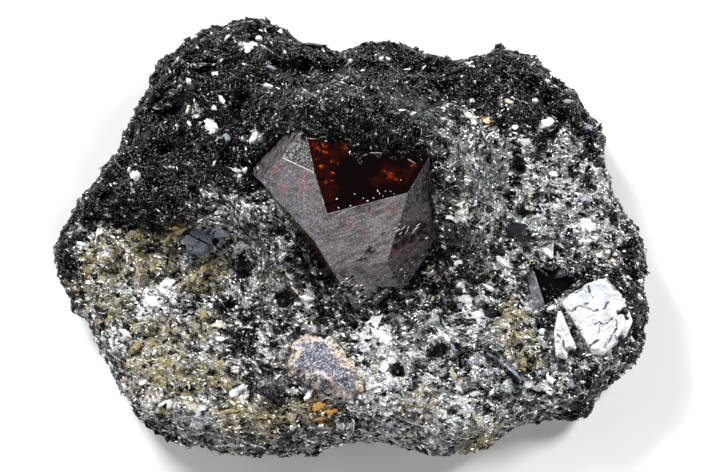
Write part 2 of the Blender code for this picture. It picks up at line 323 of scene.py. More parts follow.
# Patches of one tone on the slab's face: x, y and radius
PATCHES = {
    BIOTITE: [
        (1.5, 9.3, 4.5), (6.3, 8.4, 3), (-20, 13, 9), (-9, 20, 7), (3, 19, 7), (15, 19, 6), (25, 14, 4),
        (-24, 4.6, 6), (-12.5, 5.4, 2.4), (-22.3, 14.2, 3), (2.9, 18.3, 3.2), (25.7, 16.3, 2.4),
        (-22.6, 19.5, 1.8), (18.1, 20.7, 2.4), (-34, -4.3, 1.6), (12.5, -17.6, 1.6), (-11.9, -20.2, 1.8),
        (15.5, 14.5, 3.5), (22, 10.5, 2.5), (-7.1, -10.1, 1.6), (-10.4, -10.5, 1.6), (-13.3, -14.2, 1.5),
        (23.5, -12.5, 1.4), (28.1, -19, 2), (11.9, -16.2, 1.3), (-6.1, 16.1, 2.4),
    ],
    SILVER: [
        (-24.1, -13, 9), (-28.9, -4.7, 5), (-15.7, -21, 7), (0, -21.6, 8), (-7, -14, 4), (7, -15.5, 6),
        (15.5, -20, 8), (20, -12, 6), (27, -16.5, 5), (28.7, 1, 5.5), (18, 1, 7.5), (14.3, 9, 4.5),
        (-10, -7.5, 4), (24, 8.5, 4), (9, -21, 7), (-15, -1.5, 5), (-6.3, -0.9, 2), (-0.8, -8.3, 2.2),
        (-9.2, 2.2, 1.8),
    ],
    OCHRE: [
        (-30.7, -4.8, 2.8), (-27.1, -2.8, 3.4), (-24.1, -5.3, 2.6), (-18.1, -6, 2.1), (-16.3, -4.3, 1.5),
        (-21.1, -1.3, 1.7), (-28.7, -9.5, 2.4), (-22.6, -13.5, 2.8), (-24.1, -17.7, 2.8),
        (-20.5, -19.3, 3.2), (-17.3, -12.2, 1.7), (-16.3, -17.7, 2.2), (-13.3, -23.4, 2.3),
        (-10, -23.4, 2.1), (-6.1, -22.5, 1.7), (18.6, -11.5, 2.1), (19.8, -14.4, 2.2), (20.3, -17, 1.8),
        (14.3, -26.1, 1.8), (16.9, -24.9, 1.6), (-14.5, -20.5, 2), (8, -22, 2), (12.8, 0, 1.2),
    ],
    RUST: [(-3.1, -22.8, 1.3), (-4.6, -21.6, 0.9), (-19.6, -0.6, 0.8), (15.9, 12.4, 0.6)],
    CHALK: [
        (-9.6, 2, 0.6), (-9, 1.1, 0.6), (-8.4, 0.2, 0.5), (-7.5, -0.9, 0.5), (-5.2, -9.3, 0.7),
        (-3.5, -8.2, 0.4), (-22.8, -8.3, 1.8), (-21.7, -7.2, 1.1), (-24.4, -10, 1.3), (-28, -13.3, 1.1),
        (-19.7, -22.4, 1.4), (-18.1, -23.8, 0.9), (-12.7, -20.9, 1.2), (-23.5, -21.3, 1), (-29.5, -2.8, 0.8),
        (-13.3, 21.8, 1), (-11.5, 23.1, 0.6), (-16.6, 11.4, 1), (-18.7, 13.6, 0.7), (-26.2, 5.9, 0.8),
        (-11.5, 9.6, 0.8), (-13.7, 5.2, 0.6), (13.3, -0.2, 0.8), (14, 12.8, 1), (15.1, 11.3, 0.7),
        (23.3, 12.1, 0.8), (18.5, 15.1, 0.8), (20.4, 9.6, 0.9), (24.7, 5.5, 0.7), (28.2, -1.4, 1.4),
        (18, -5.3, 1), (13.7, -10.2, 1.1), (15.2, -11.5, 0.8), (21, -9.8, 0.7), (3, -13.7, 1.7),
        (1.8, -15.7, 1.1), (0.5, -12.2, 0.8), (4.4, -18.2, 1.3), (2.6, -21.1, 1.5), (-0.1, -21.6, 0.8),
        (10.3, -14.7, 1), (13.2, -22.4, 1.1), (15.6, -23.9, 1.1), (23.3, -19.7, 0.8), (-5.5, -10.3, 0.9),
    ],
    CREAM: [
        (-2.5, -14.5, 1), (-0.6, -15.8, 0.8), (-6.4, -16, 1), (0.1, -18.2, 0.8), (-10.2, -6.6, 0.9),
        (9.5, -5.8, 0.8),
    ],
    SAGE: [
        (9.5, 11.8, 2.6), (11.4, 8.1, 2.4), (12.7, 3.1, 2.4), (12.5, -2.1, 1.8), (6.1, 13.6, 2),
        (-0.6, 20.1, 1.4), (14.9, -4.3, 2.4), (20.5, -1.8, 1.8), (8.5, -13, 1.5), (16.2, 6, 2.2),
    ],
}

PATCH_STRENGTH = {
    BIOTITE: 1.2,
    SILVER: 2.5,
    OCHRE: 3.6,
    RUST: 4.0,
    CHALK: 7.0,
    CREAM: 4.0,
    SAGE: 2.4,
}

# Holes in the slab's face, sunk and darkened with painted shade: x, y, radius and depth
PITS = [
    (-22.3, 14.2, 1.5, 1.2), (-17.9, 19.4, 1.3, 0.9), (-13.4, 14.9, 0.8, 0.8), (12.9, 10.7, 0.9, 0.9),
    (20, 6.9, 0.9, 0.9), (17.9, 12, 0.8, 0.7), (5.5, -18, 0.9, 0.8), (10.2, -15.9, 0.9, 0.8),
    (12.6, -15.2, 0.5, 0.6), (13.1, -17.2, 0.6, 0.6), (-7.9, -9.3, 1.1, 0.9), (-3.7, -11.6, 0.9, 0.8),
    (-6.4, -12.9, 0.9, 0.8), (-8.6, -12.8, 0.8, 0.8), (0.3, -12.1, 0.7, 0.7), (-12.7, -4.4, 1.1, 0.9),
    (-14.7, -9.2, 0.9, 0.8), (-12.2, -11, 0.8, 0.8), (17, -11.3, 1, 0.7), (17.4, -3.3, 0.8, 0.6),
    (31.3, 0.8, 0.7, 0.6), (22.5, -12.5, 0.9, 0.9), (30.5, -18.5, 1, 0.8), (27.6, -21.1, 0.9, 0.7),
    (-34, -4.3, 0.9, 0.7), (2.9, 18.3, 1.3, 0.8), (-6.1, 16.1, 1.2, 0.9), (23.9, 16.4, 1.2, 0.8),
    (19.3, -18.6, 0.6, 0.6), (-9.9, -21.6, 0.9, 0.8), (-25.6, -15.2, 0.9, 0.7), (-19.2, -2.6, 0.9, 0.7),
]


def ragged(points: Array, span: float, seed: float) -> Array:
    """Return soft noise from -1 to 1 at each point, for patches with ragged edges."""
    return np.array([noise.noise(Vector((x, y, z + seed)) / span) for x, y, z in points])


def crags(points: Array) -> Array:
    """Give the fine relief of the broken schist.

    Args:
        points: Places in millimetres, one row each.

    Returns:
        The relief at each, from about -1 in the hollows to 1 on the crests.
    """
    beds = points * np.array([1.0, 1.0, 2.0])
    coarse = 0.4 - np.abs(ragged(beds, 1.7, 13.0)) * 1.6
    middle = 0.35 - np.abs(ragged(beds, 0.85, 47.0)) * 1.4
    return 0.62 * coarse + 0.45 * middle + 0.3 * ragged(beds, 0.4, 91.0)


def hollow(points: Array) -> Array:
    """Give the depth of the holes, which also sets the painted shade in them.

    Args:
        points: Places in millimetres, one row each.

    Returns:
        The depth at each, in millimetres.
    """
    depth = np.zeros(len(points))
    wander = 1.0 + 0.5 * ragged(points, 0.9, 23.0)
    for x, y, radius, deep in PITS:
        distance = np.hypot(points[:, 0] - x, points[:, 1] - y) * wander / radius
        depth = np.maximum(depth, deep * np.exp(-(distance**4)))
    return depth


def hollow_shade(points: Array) -> Array:
    """Return the painted shade at each point, as how light it is kept: near one on the crests, low in hollows
    and holes.
    """
    open_share = held((crags(points) + 0.55) / 0.9)
    return (0.22 + 0.78 * open_share) * np.exp(-2.2 * hollow(points))


def weathering(shares: dict[Tone, Array]) -> Array:
    """Return how far each place is bleached, from 0 to 1, by the share of pale mica and stains there."""
    pale = shares[SILVER] + shares[OCHRE] + shares[CHALK]
    return held((pale - 0.4) / 0.45)


def tone_shares(points: Array) -> dict[Tone, Array]:
    """Return how much of each tone the schist has at each point.

    Args:
        points: Places on the slab in millimetres, one row each.

    Returns:
        One array of shares a tone; the shares at a point add up to one.
    """
    wander = 1.0 + 0.45 * ragged(points, 1.6, 5.0) + 0.3 * ragged(points, 0.7, 31.0)
    shares = {tone: np.full(len(points), share) for tone, share in BASE_SHARES.items()}
    for tone, patches in PATCHES.items():
        for x, y, radius in patches:
            distance = np.hypot(points[:, 0] - x, points[:, 1] - y) * wander / radius
            shares[tone] += PATCH_STRENGTH[tone] * np.exp(-(distance**4))
    shares[BIOTITE] *= np.exp(2.6 * ragged(points * np.array([0.7, 1.0, 1.0]), 0.8, 77.0))
    total = sum(shares.values())
    return {tone: share / total for tone, share in shares.items()}


# ------------------------------ finishes


@dataclass(frozen=True)
class Facets:
    """A relief of small flat plates that each lean their own way, as split mica shows.

    Attributes:
        size: Width of one plate in millimetres.
        lean: How far the plates lean; 1 is about twenty degrees.
    """

    size: float
    lean: float

    def height(self, add: Adder, place: Socket) -> tuple[Node, Node]:
        """Add the plates to a material.

        Args:
            add: Adds a node to the material.
            place: The output that gives the place on the piece, in metres.

        Returns:
            The node whose Value is the height in metres, and the cell pattern itself.
        """
        cells = add("TexVoronoi", {"Vector": place, "Scale": 1.0 / (self.size * MM)})
        offset = add("VectorMath", (place, cells.outputs["Position"]), operation="SUBTRACT")
        way = add("VectorMath", (cells.outputs["Color"], (0.5, 0.5, 0.5)), operation="SUBTRACT")
        ramp = add("VectorMath", (offset, way), operation="DOT_PRODUCT")
        height = add("Math", (ramp, self.lean), operation="MULTIPLY")
        return height, cells


def new_material(name: str) -> tuple[Material, Adder, Socket]:
    """Start a material.

    Args:
        name: Its name.

    Returns:
        The material, add_node bound to its tree, and the output that gives the place on the piece, in metres.
    """
    material = bpy.data.materials.new(name)
    material.use_nodes = True
    add = partial(add_node, material.node_tree)
    return material, add, add("TexCoord").outputs["Object"]


def finished(material: Material, inputs: Inputs) -> Material:
    """Set the inputs of a material's Principled shader and return the material."""
    feed(material.node_tree.nodes["Principled BSDF"], inputs)
    return material


@dataclass(frozen=True)
class SplitSchist:
    """Groundmass of the schist, broken along its foliation: dark, finely plated, glinting here and there."""

    name: str = "biotite_schist_split"
    coarse: Facets = Facets(0.55, 1.5)
    fine: Facets = Facets(0.24, 1.3)

    def build(self) -> Material:
        """Build the finish.

        Returns:
            The material, coloured by the piece's Tint attribute.
        """
        material, add, place = new_material(self.name)
        coarse, cells = self.coarse.height(add, place)
        fine, grains = self.fine.height(add, place)
        relief = add("Math", (coarse, fine), operation="ADD")
        bump = add("Bump", {"Height": relief, "Distance": 1.0, "Strength": 1.0})
        tint = add("Attribute", attribute_name="Tint")
        shade = add("MapRange", (grains, 0.0, 0.7, 1.25, 0.45))
        mixed = add("Mix", {SHARE: 1.0, UNDER: tint, OVER: shade}, data_type="RGBA", blend_type="MULTIPLY")
        rough = add("MapRange", (cells, 0.0, 0.8, 0.22, 0.6))
        return finished(material, {"Base Color": mixed, "Roughness": rough, "Normal": bump, "IOR": 1.25})


@dataclass(frozen=True)
class MicaFlakes:
    """Loose and standing flakes: flat cleavage faces whose gloss makes each one flash or stay dark."""

    name: str
    roughness: float
    metallic: float
    ior: float
    ripple: float = 0.12

    def build(self) -> Material:
        """Build the finish.

        Returns:
            The material, coloured by the piece's Tint attribute.
        """
        material, add, place = new_material(self.name)
        tint = add("Attribute", attribute_name="Tint")
        waves = add("TexNoise", {"Vector": place, "Scale": 1.0 / (0.35 * MM), "Detail": 2.0})
        bump = add("Bump", {"Height": waves, "Distance": 0.1 * MM, "Strength": self.ripple * 3.0})
        rough = add("MapRange", (waves, 0.3, 0.7, self.roughness * 0.7, self.roughness * 1.5))
        return finished(material, {
            "Base Color": tint, "Roughness": rough, "Normal": bump, "Metallic": self.metallic,
            "IOR": self.ior,
        })


# ------------------------------ the schist


@dataclass
class SchistSlab:
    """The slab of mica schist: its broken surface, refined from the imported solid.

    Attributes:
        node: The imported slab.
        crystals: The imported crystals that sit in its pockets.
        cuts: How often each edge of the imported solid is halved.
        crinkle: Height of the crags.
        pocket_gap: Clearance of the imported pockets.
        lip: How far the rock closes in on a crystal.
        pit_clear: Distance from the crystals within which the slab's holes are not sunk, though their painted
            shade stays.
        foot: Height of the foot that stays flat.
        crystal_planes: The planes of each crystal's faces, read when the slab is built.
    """

    node: Piece
    crystals: list[Piece]
    cuts: int = 3
    crinkle: float = 0.55
    pocket_gap: float = 0.3
    lip: float = 0.26
    pit_clear: float = 1.2
    foot: float = 0.02
    crystal_planes: list[tuple[Array, Array]] = field(default_factory=list)

    def build(self) -> Piece:
        """Refine, crinkle and colour the slab.

        Returns:
            The finished slab.
        """
        self.crystal_planes = [face_planes(crystal) for crystal in self.crystals]
        piece = copy_of_node(self.node, "schist_slab")
        with all_in_edit(piece):
            bpy.ops.mesh.subdivide(number_cuts=self.cuts)
        mesh = piece.data
        points = read_points(mesh)
        write_points(mesh, self.crinkled(mesh, points))
        shares = tone_shares(points)
        paint(mesh, self.ground_colours(shares, points))
        mesh.materials.append(SplitSchist().build())
        finish_piece(piece, "schist_matrix")
        return piece

    def gap_to_crystals(self, points: Array) -> Array:
        """Return each point's distance outside the nearest crystal."""
        return np.min([outside_by(points, planes) for planes in self.crystal_planes], axis=0)

    def crinkled(self, mesh: Mesh, points: Array) -> Array:
        """Move the points of the slab's broken surface.

        Args:
            mesh: The refined mesh.
            points: Its points in millimetres.

        Returns:
            The moved points, with the foot left flat and the pockets drawn close to their crystals.
        """
        normals = np.zeros(len(points) * 3)
        mesh.vertices.foreach_get("normal", normals)
        normals = normals.reshape(-1, 3)
        gaps = self.gap_to_crystals(points)
        upright = held(normals[:, 2])
        moved = points + normals * (self.crinkle * crags(points))[:, None]
        moved[:, 2] -= hollow(points) * upright * (gaps > self.pit_clear)
        moved[:, 2] = np.maximum(moved[:, 2], 0.0)
        for index in np.flatnonzero(gaps < self.pocket_gap + 0.02):
            moved[index] = self.towards_crystal(points[index])
        foot = points[:, 2] < self.foot
        moved[foot] = points[foot]
        return moved

    def towards_crystal(self, point: Array) -> Array:
        """Draw a pocket's point in towards the crystal that fills it.

        Args:
            point: The point in millimetres.

        Returns:
            The moved point.
        """
        outside = [outside_by(point[None, :], planes)[0] for planes in self.crystal_planes]
        normals, offsets = self.crystal_planes[int(np.argmin(outside))]
        nearest = int(np.argmax(normals @ point - offsets))
        return point - normals[nearest] * self.lip

    def ground_colours(self, shares: dict[Tone, Array], points: Array) -> Array:
        """Colour the groundmass, darker than the flakes that lie on it, with painted shade in its hollows and
        holes.

        Args:
            shares: The share of each tone at each point.
            points: Places on the slab in millimetres, one row each.

        Returns:
            One linear colour a point.
        """
        colours = sum(share[:, None] * linear(TONE_COLOURS[tone]) for tone, share in shares.items())
        pale, bleached = 1.0 - shares[BIOTITE], weathering(shares)
        # Painted shade darkens the ground in the hollows and holes.
        return colours * ((0.6 + 0.9 * bleached) * pale**2 * hollow_shade(points) ** (1.5 - bleached))[:, None]


@dataclass(frozen=True)
class FlakeShape:
    """One flake that is copied many times: a thin plate with straight broken sides.

    Attributes:
        sides: Number of sides.
        thickness: Thickness as a share of the half width.
    """

    sides: int
    thickness: float

    def model(self) -> tuple[Array, Array]:
        """Model the flake from a flat cylinder.

        Returns:
            Its points, one row each, and its triangles.
        """
        deselect_all()
        bpy.ops.mesh.primitive_cylinder_add(vertices=self.sides, radius=1.0, depth=self.thickness)
        flake = bpy.context.object
        with all_in_edit(flake):
            bpy.ops.mesh.quads_convert_to_tris()
        points = np.array([tuple(vert.co) for vert in flake.data.vertices])
        triangles = np.array([tuple(polygon.vertices) for polygon in flake.data.polygons])
        bpy.data.objects.remove(flake, do_unlink=True)
        return points, triangles


@dataclass
class FlakeKind:
    """A kind of grain that is strewn over the slab.

    Attributes:
        name: Name of its pieces.
        tones: The tones that it covers, with how bright its grains are against the tone's colour.
        shape: The grain that is copied.
        size: Middle half length.
        spread: Spread of the sizes, as a share.
        slenderness: How much longer than wide the longest grains are.
        lean: Spread of the grains' lean from the surface, in radians.
        steep_share: Share of the grains that stand steeply.
        contrast: How much the grains differ in brightness.
        finish: Its finish.
        edge: How strongly a pale highlight is painted on the split edges of its sheets, from 0 to 1.
        strips: Number of strips from left to right that it is parted into, to keep each piece light.
    """

    name: str
    tones: dict[Tone, float]
    shape: FlakeShape
    size: float
    spread: float
    slenderness: float
    lean: float
    steep_share: float
    contrast: float
    finish: MicaFlakes
    edge: float = 0.0
    strips: int = 3


@dataclass
class FlakeCoat:
    """All the flakes and grains that cover the slab's broken surface.

    Attributes:
        slab: The finished slab.
        piece: Its mesh object.
        kinds: The kinds of grain.
        per_mm2: Grains per square millimetre, all kinds together.
        seed: Seed of the strewing.
        wash_colour: Tint that the weathering gives to the grains near ochre.
        edge_highlight_colour: Colour of the pale highlight painted on the flakes' split edges.
        foot: Height below which nothing is strewn.
        clear: Distance from the crystals within which nothing is strewn.
        trend: Way that the schist's grain runs.
        crystal_centre: Middle of the large crystal, which the grains near it wrap round.
        wrap: How far from there they do so.
        fringe_density: How much thicker the grains lie where they stick to the large crystal.
        fringe_spots: Where grains stick to the large crystal: x, y, z, radius and cover.
    """

    slab: SchistSlab
    piece: Piece
    kinds: list[FlakeKind]
    per_mm2: float = 14.0
    seed: int = 11
    wash_colour: str = "c4b284"
    edge_highlight_colour: str = "f4f6f8"
    foot: float = 0.35
    clear: float = 0.22
    trend: tuple[float, float, float] = (0.93, -0.3, 0.0)
    crystal_centre: tuple[float, float] = (-0.6, 1.4)
    wrap: float = 17.0
    fringe_density: float = 1.6
    fringe_spots: Spots = (
        (-2.9, 8.9, 19.5, 1.4, 0.95), (-0.5, 8.7, 19.2, 1.5, 0.95), (0.7, 6.2, 19.4, 1, 0.8),
        (2.5, 7.2, 19, 1.2, 0.8), (3.5, 5.8, 19.1, 0.6, 0.4), (4.9, 7.2, 18.7, 1.2, 0.85),
        (1, 5.2, 19.5, 0.5, 0.6), (6.5, 7.1, 18.5, 1.1, 0.85), (-5.2, 9.2, 19.8, 1.3, 0.9),
        (8.2, 6.3, 18.4, 0.6, 0.7), (-8.2, 9.5, 16, 1, 0.4), (-10.8, 6, 14, 0.7, 0.45),
        (-7, 10.4, 17.4, 1.4, 0.95), (-7, 8.6, 18.6, 0.6, 0.5), (-5.6, 8.4, 19.7, 0.7, 0.8),
        (-0.8, -8.1, 12.9, 1.1, 0.9), (0.1, -8.7, 11.5, 1.3, 1), (1.6, -9.3, 9.7, 1.5, 1),
        (3.4, -8.4, 9.9, 1.3, 0.8), (5, -8.6, 8.7, 1.4, 1), (3.1, -9.5, 8.5, 1.5, 1),
        (1.3, -8.1, 11.6, 0.7, 0.4), (7.7, -4.7, 11.2, 0.9, 0.7), (6.6, -6.7, 9.9, 1.2, 0.9),
        (9, -2.3, 12.8, 0.8, 0.8), (5.7, -6.3, 11.2, 0.8, 0.4), (9, -3.8, 11, 0.9, 0.9),
        (9.3, 1.6, 15.8, 0.6, 0.5), (9.6, -0.4, 14.4, 0.6, 0.6), (9.1, 4, 17.3, 0.6, 0.5),
        (-10.3, 3.8, 15.1, 0.4, 0.7), (-9.1, 1.9, 15.9, 0.4, 0.8), (-8.2, 0.5, 16.5, 0.4, 0.8),
        (-7, -1.5, 17.3, 0.4, 0.8), (-5.7, -3.2, 18.1, 0.4, 0.7), (-11.2, 4.7, 12.6, 0.8, 1),
        (-10.1, 3.3, 12.5, 0.8, 1), (-8.9, 1.7, 13.3, 0.8, 1), (-7.8, 0.3, 13.1, 0.8, 1),
        (-6.9, -0.9, 12.8, 0.8, 1), (-6, -2.1, 12.5, 0.7, 1), (-1.6, -7.8, 12.9, 0.7, 1),
        (-1, -8.5, 10.8, 0.8, 1), (-0.1, -9.7, 9.8, 0.8, 1),
    )

    def build(self) -> list[Piece]:
        """Strew the grains.

        Returns:
            One piece for each kind and strip.
        """
        rng = np.random.default_rng(self.seed)
        places, normals = self.sample(rng)
        extra = self.fringe(rng)
        places, normals = np.vstack([places, extra[0]]), np.vstack([normals, extra[1]])
        shares = tone_shares(places)
        tones = list(shares)
        stacked = np.cumsum(np.column_stack([shares[tone] for tone in tones]), axis=1)
        picks = (rng.random(len(places))[:, None] > stacked).sum(axis=1).clip(0, len(tones) - 1)
        slope = held(1.0 - normals[:, 2])
        dull = (rng.random(len(places)) < 0.5 - 0.5 * slope) & (shares[BIOTITE] > 0.4)
        dull |= rng.random(len(places)) < 0.75 * held(1.3 - 2.2 * normals[:, 2])
        picks[dull] = tones.index(BIOTITE)
        stained = np.isin(picks, [tones.index(OCHRE), tones.index(RUST)])
        wash_and_shade = 1.0 - (shares[OCHRE] * ~stained)[:, None] * (1.0 - linear(self.wash_colour))
        bleached = weathering(shares)
        # Besides the weathering tint, the grains take the painted shade of the hollows and holes.
        wash_and_shade *= ((0.85 + 0.8 * bleached * ~stained) * hollow_shade(places) ** (1.0 - 0.5 * bleached))[:, None]
        pieces = []
        for kind in self.kinds:
            chosen = np.isin(picks, [tones.index(tone) for tone in kind.tones])
            base = np.array([linear(TONE_COLOURS[tone]) * kind.tones.get(tone, 1.0) for tone in tones])
            colours = base[picks[chosen]] * wash_and_shade[chosen]
            pieces += self.strew(kind, places[chosen], normals[chosen], colours, rng)
        return pieces

    def sample(self, rng: np.random.Generator) -> tuple[Array, Array]:
        """Choose places on the slab's open surface.

        Args:
            rng: The seeded random source.

        Returns:
            The places and the surface's normal at each.
        """
        mesh = self.piece.data
        points = read_points(mesh)
        count = len(mesh.polygons)
        corners = np.zeros(count * 3, dtype=int)
        mesh.polygons.foreach_get("vertices", corners)
        corners = corners.reshape(-1, 3)
        a, b, c = (points[corners[:, i]] for i in range(3))
        cross = np.cross(b - a, c - a)
        areas = np.linalg.norm(cross, axis=1) / 2.0
        normals = cross / np.maximum(areas[:, None] * 2.0, 1e-9)
        middle = (a + b + c) / 3.0
        open_face = (middle[:, 2] > self.foot) & (self.slab.gap_to_crystals(middle) > self.clear)
        areas = areas * open_face
        total = int(self.per_mm2 * areas.sum())
        picks = np.searchsorted(np.cumsum(areas), rng.random(total) * areas.sum())
        u, v = rng.random(total), rng.random(total)
        flip = u + v > 1.0
        u[flip], v[flip] = 1.0 - u[flip], 1.0 - v[flip]
        places = a[picks] + u[:, None] * (b - a)[picks] + v[:, None] * (c - a)[picks]
        return places, normals[picks]

    def fringe(self, rng: np.random.Generator) -> tuple[Array, Array]:
        """Choose places on the large crystal where grains of the schist still stick to it.

        Args:
            rng: The seeded random source.

        Returns:
            The places and the crystal's normal at each.
        """
        crystal = next(node for node in self.slab.crystals if node.name == "zircon_crystal")
        normals, offsets = face_planes(crystal)
        places, ways = [], []
        for x, y, z, radius, cover in self.fringe_spots:
            count = int(self.fringe_density * self.per_mm2 * cover * radius**2)
            spread = np.array((x, y, z)) + rng.normal(0.0, radius / 2.0, (count, 3))
            gap = spread @ normals.T - offsets
            face = gap.argmax(axis=1)
            places.append(spread - normals[face] * gap.max(axis=1)[:, None])
            ways.append(normals[face])
        return np.vstack(places), np.vstack(ways)

    def frames(
        self, kind: FlakeKind, places: Array, normals: Array, length: Array, rng: np.random.Generator
    ) -> Array:
        """Return each grain's axes: along, across and out of its plate.

        Args:
            kind: The kind of grain.
            places: Its places.
            normals: The surface's normals there.
            length: Each grain's half length; long grains lean less.
            rng: The seeded random source.

        Returns:
            One 3 by 3 matrix a grain, with the axes in its columns.
        """
        count = len(places)
        steep = rng.random(count) < kind.steep_share
        wall = held(1.2 - normals[:, 2])
        calm = np.clip(0.4 / length, 0.25, 1.0) * (1.0 - 0.6 * wall)
        lean = np.where(steep, rng.normal(0.0, 1.1, count), rng.normal(0.0, 0.4 * kind.lean, count)) * calm
        beds = places * np.array([0.65, 1.0, 1.0])
        packet = np.column_stack([ragged(beds, 0.8, 61.0), ragged(beds, 0.8, 67.0), np.zeros(count)])
        level = 0.6 * held(3.0 * normals[:, 2:] - 1.7)
        away = places[:, :2] - np.array(self.crystal_centre)
        near = np.exp(-((np.linalg.norm(away, axis=1) / self.wrap) ** 2))
        around = np.column_stack([-away[:, 1], away[:, 0], np.zeros(count)])
        around /= np.maximum(np.linalg.norm(around, axis=1, keepdims=True), 1e-6)
        trend = np.array(self.trend)
        ledge = np.column_stack([-normals[:, 1], normals[:, 0], np.zeros(count)])
        ledge *= np.sign((ledge * trend).sum(axis=1))[:, None] * 2.2
        flow = near[:, None] * around + (1.0 - near)[:, None] * trend + ledge
        flow += rng.normal(0.0, 0.4, (count, 3))
        out = normals * (1.0 - level) + np.array([0.0, 0.0, 1.0]) * level
        out += (1.0 + 5.0 * level) * kind.lean * packet + 0.06 * rng.normal(0.0, 1.0, (count, 3))
        out /= np.linalg.norm(out, axis=1, keepdims=True)
        along = flow - (flow * out).sum(axis=1, keepdims=True) * out
        along /= np.maximum(np.linalg.norm(along, axis=1, keepdims=True), 1e-6)
        across = np.cross(out, along)
        tipped = out * np.cos(lean)[:, None] + across * np.sin(lean)[:, None]
        across = np.cross(tipped, along)
        return np.stack([along, across, tipped], axis=2)

    def strew(
        self, kind: FlakeKind, places: Array, normals: Array, colours: Array, rng: np.random.Generator
    ) -> list[Piece]:
        """Make the pieces of one kind.

        Args:
            kind: The kind of grain.
            places: Its places.
            normals: The surface's normals there.
            colours: Each grain's linear colour.
            rng: The seeded random source.

        Returns:
            One piece a strip that holds any grains.
        """
        points, triangles = kind.shape.model()
        count = len(places)
        length = kind.size * np.exp(np.minimum(rng.normal(0.0, kind.spread, count), 0.8))
        length *= 1.0 - 0.65 * held(1.15 - normals[:, 2])
        width = length / rng.uniform(1.0, kind.slenderness, count)
        rough_corner = rng.uniform(0.65, 1.25, (count, kind.shape.sides))
        ring = [int(np.abs(angle_gap(points, point, kind.shape.sides)).argmin()) for point in points]
        local = points[None, :, :] * np.ones((count, 1, 1))
        local[:, :, :2] *= rough_corner[:, ring][:, :, None]
        local[:, :, 0] *= length[:, None]
        local[:, :, 1] *= width[:, None]
        local[:, :, 2] *= kind.size
        axes = self.frames(kind, places, normals, length, rng)
        lift = 0.12 * length * rng.uniform(-0.5, 1.2, count)
        verts = np.einsum("nij,nkj->nki", axes, local) + (places + normals * lift[:, None])[:, None, :]
        verts[:, :, 2] = np.maximum(verts[:, :, 2], 0.01)
        warm = 0.22 * ragged(places, 1.8, 17.0) + rng.normal(0.05, 0.06, count)
        hue = np.column_stack([1.0 + 0.8 * warm, 1.0 + 0.5 * warm, 1.0 - warm])
        bright = np.exp(rng.normal(0.0, kind.contrast, count))
        tints = np.clip(colours * hue * bright[:, None], 0.0, 0.92)
        # Painted highlight: the side faces of some flakes are tinted pale, for split edges that catch the
        # light; the painted shade of the hollows dims it.
        split = kind.edge * rng.random(count)[:, None] ** 8 * hollow_shade(places)[:, None] ** 0.5
        edge_highlight_tints = tints * (1.0 - split) + linear(self.edge_highlight_colour) * split
        side = np.ptp(points[triangles][:, :, 2], axis=1) > 0.5 * kind.shape.thickness
        edges = np.quantile(places[:, 0], np.linspace(0.0, 1.0, kind.strips + 1))
        edges[0], edges[-1] = edges[0] - 1.0, edges[-1] + 1.0
        material = kind.finish.build()
        pieces = []
        for strip in range(kind.strips):
            inside = (places[:, 0] >= edges[strip]) & (places[:, 0] < edges[strip + 1])
            if not inside.any():
                continue
            painted = np.where(side[None, :, None], edge_highlight_tints[inside][:, None, :], tints[inside][:, None, :])
            piece = joined_copies(f"{kind.name}_{strip + 1}", verts[inside], triangles, painted)
            piece.data.materials.append(material)
            finish_piece(piece)
            pieces.append(piece)
        return pieces


def angle_gap(points: Array, point: Array, sides: int) -> Array:
    """Measure how far round a flake one of its points is from each of its corners.

    Args:
        points: The flake's points, of which the first stands at the first corner.
        point: The point.
        sides: The flake's number of sides.

    Returns:
        One gap a corner, in sides.
    """
    turn = math.atan2(point[1], point[0]) / (2.0 * math.pi) * sides
    start = math.atan2(points[0][1], points[0][0]) / (2.0 * math.pi) * sides
    return (turn - start - np.arange(sides) + sides / 2.0) % sides - sides / 2.0


def joined_copies(name: str, verts: Array, triangles: Array, tints: Array) -> Piece:
    """Join many copies of one small shape into one piece.

    Args:
        name: The piece's name.
        verts: Points in millimetres: copies by points by three.
        triangles: The shape's triangles.
        tints: The linear colour of each copy's triangles.

    Returns:
        The new piece.
    """
    count, per_copy = verts.shape[:2]
    corners = (triangles[None, :, :] + (np.arange(count) * per_copy)[:, None, None]).reshape(-1)
    mesh = bpy.data.meshes.new(name)
    mesh.vertices.add(count * per_copy)
    mesh.vertices.foreach_set("co", (verts * MM).reshape(-1))
    mesh.loops.add(len(corners))
    mesh.loops.foreach_set("vertex_index", corners)
    faces = len(corners) // 3
    mesh.polygons.add(faces)
    mesh.polygons.foreach_set("loop_start", np.arange(faces) * 3)
    mesh.update(calc_edges=True)
    mesh.validate()
    paint(mesh, np.repeat(tints.reshape(-1, 3), 3, axis=0))
    return placed(name, mesh)


# ------------------------------ the zircon


@dataclass(frozen=True)
class DeepRedVolume:
    """The zircon's body colour: what light loses on its way through the crystal, the same on every face.

    Attributes:
        colour: Colour that the crystal lets through.
        density: Loss a metre of what the colour lacks.
    """

    colour: str = "d8512a"
    density: float = 620.0

    def attach(self, add: Adder) -> None:
        """Give a material this body colour.

        Args:
            add: Adds a node to the material.
        """
        loss = add("VolumeAbsorption", {"Color": self.colour, "Density": self.density})
        output = next(node for node in loss.id_data.nodes if node.type == "OUTPUT_MATERIAL")
        feed(output, {"Volume": loss})


# For a face without spots: one small spot far below the table
NOWHERE = ((0.0, 0.0, -9.0, 0.1),)


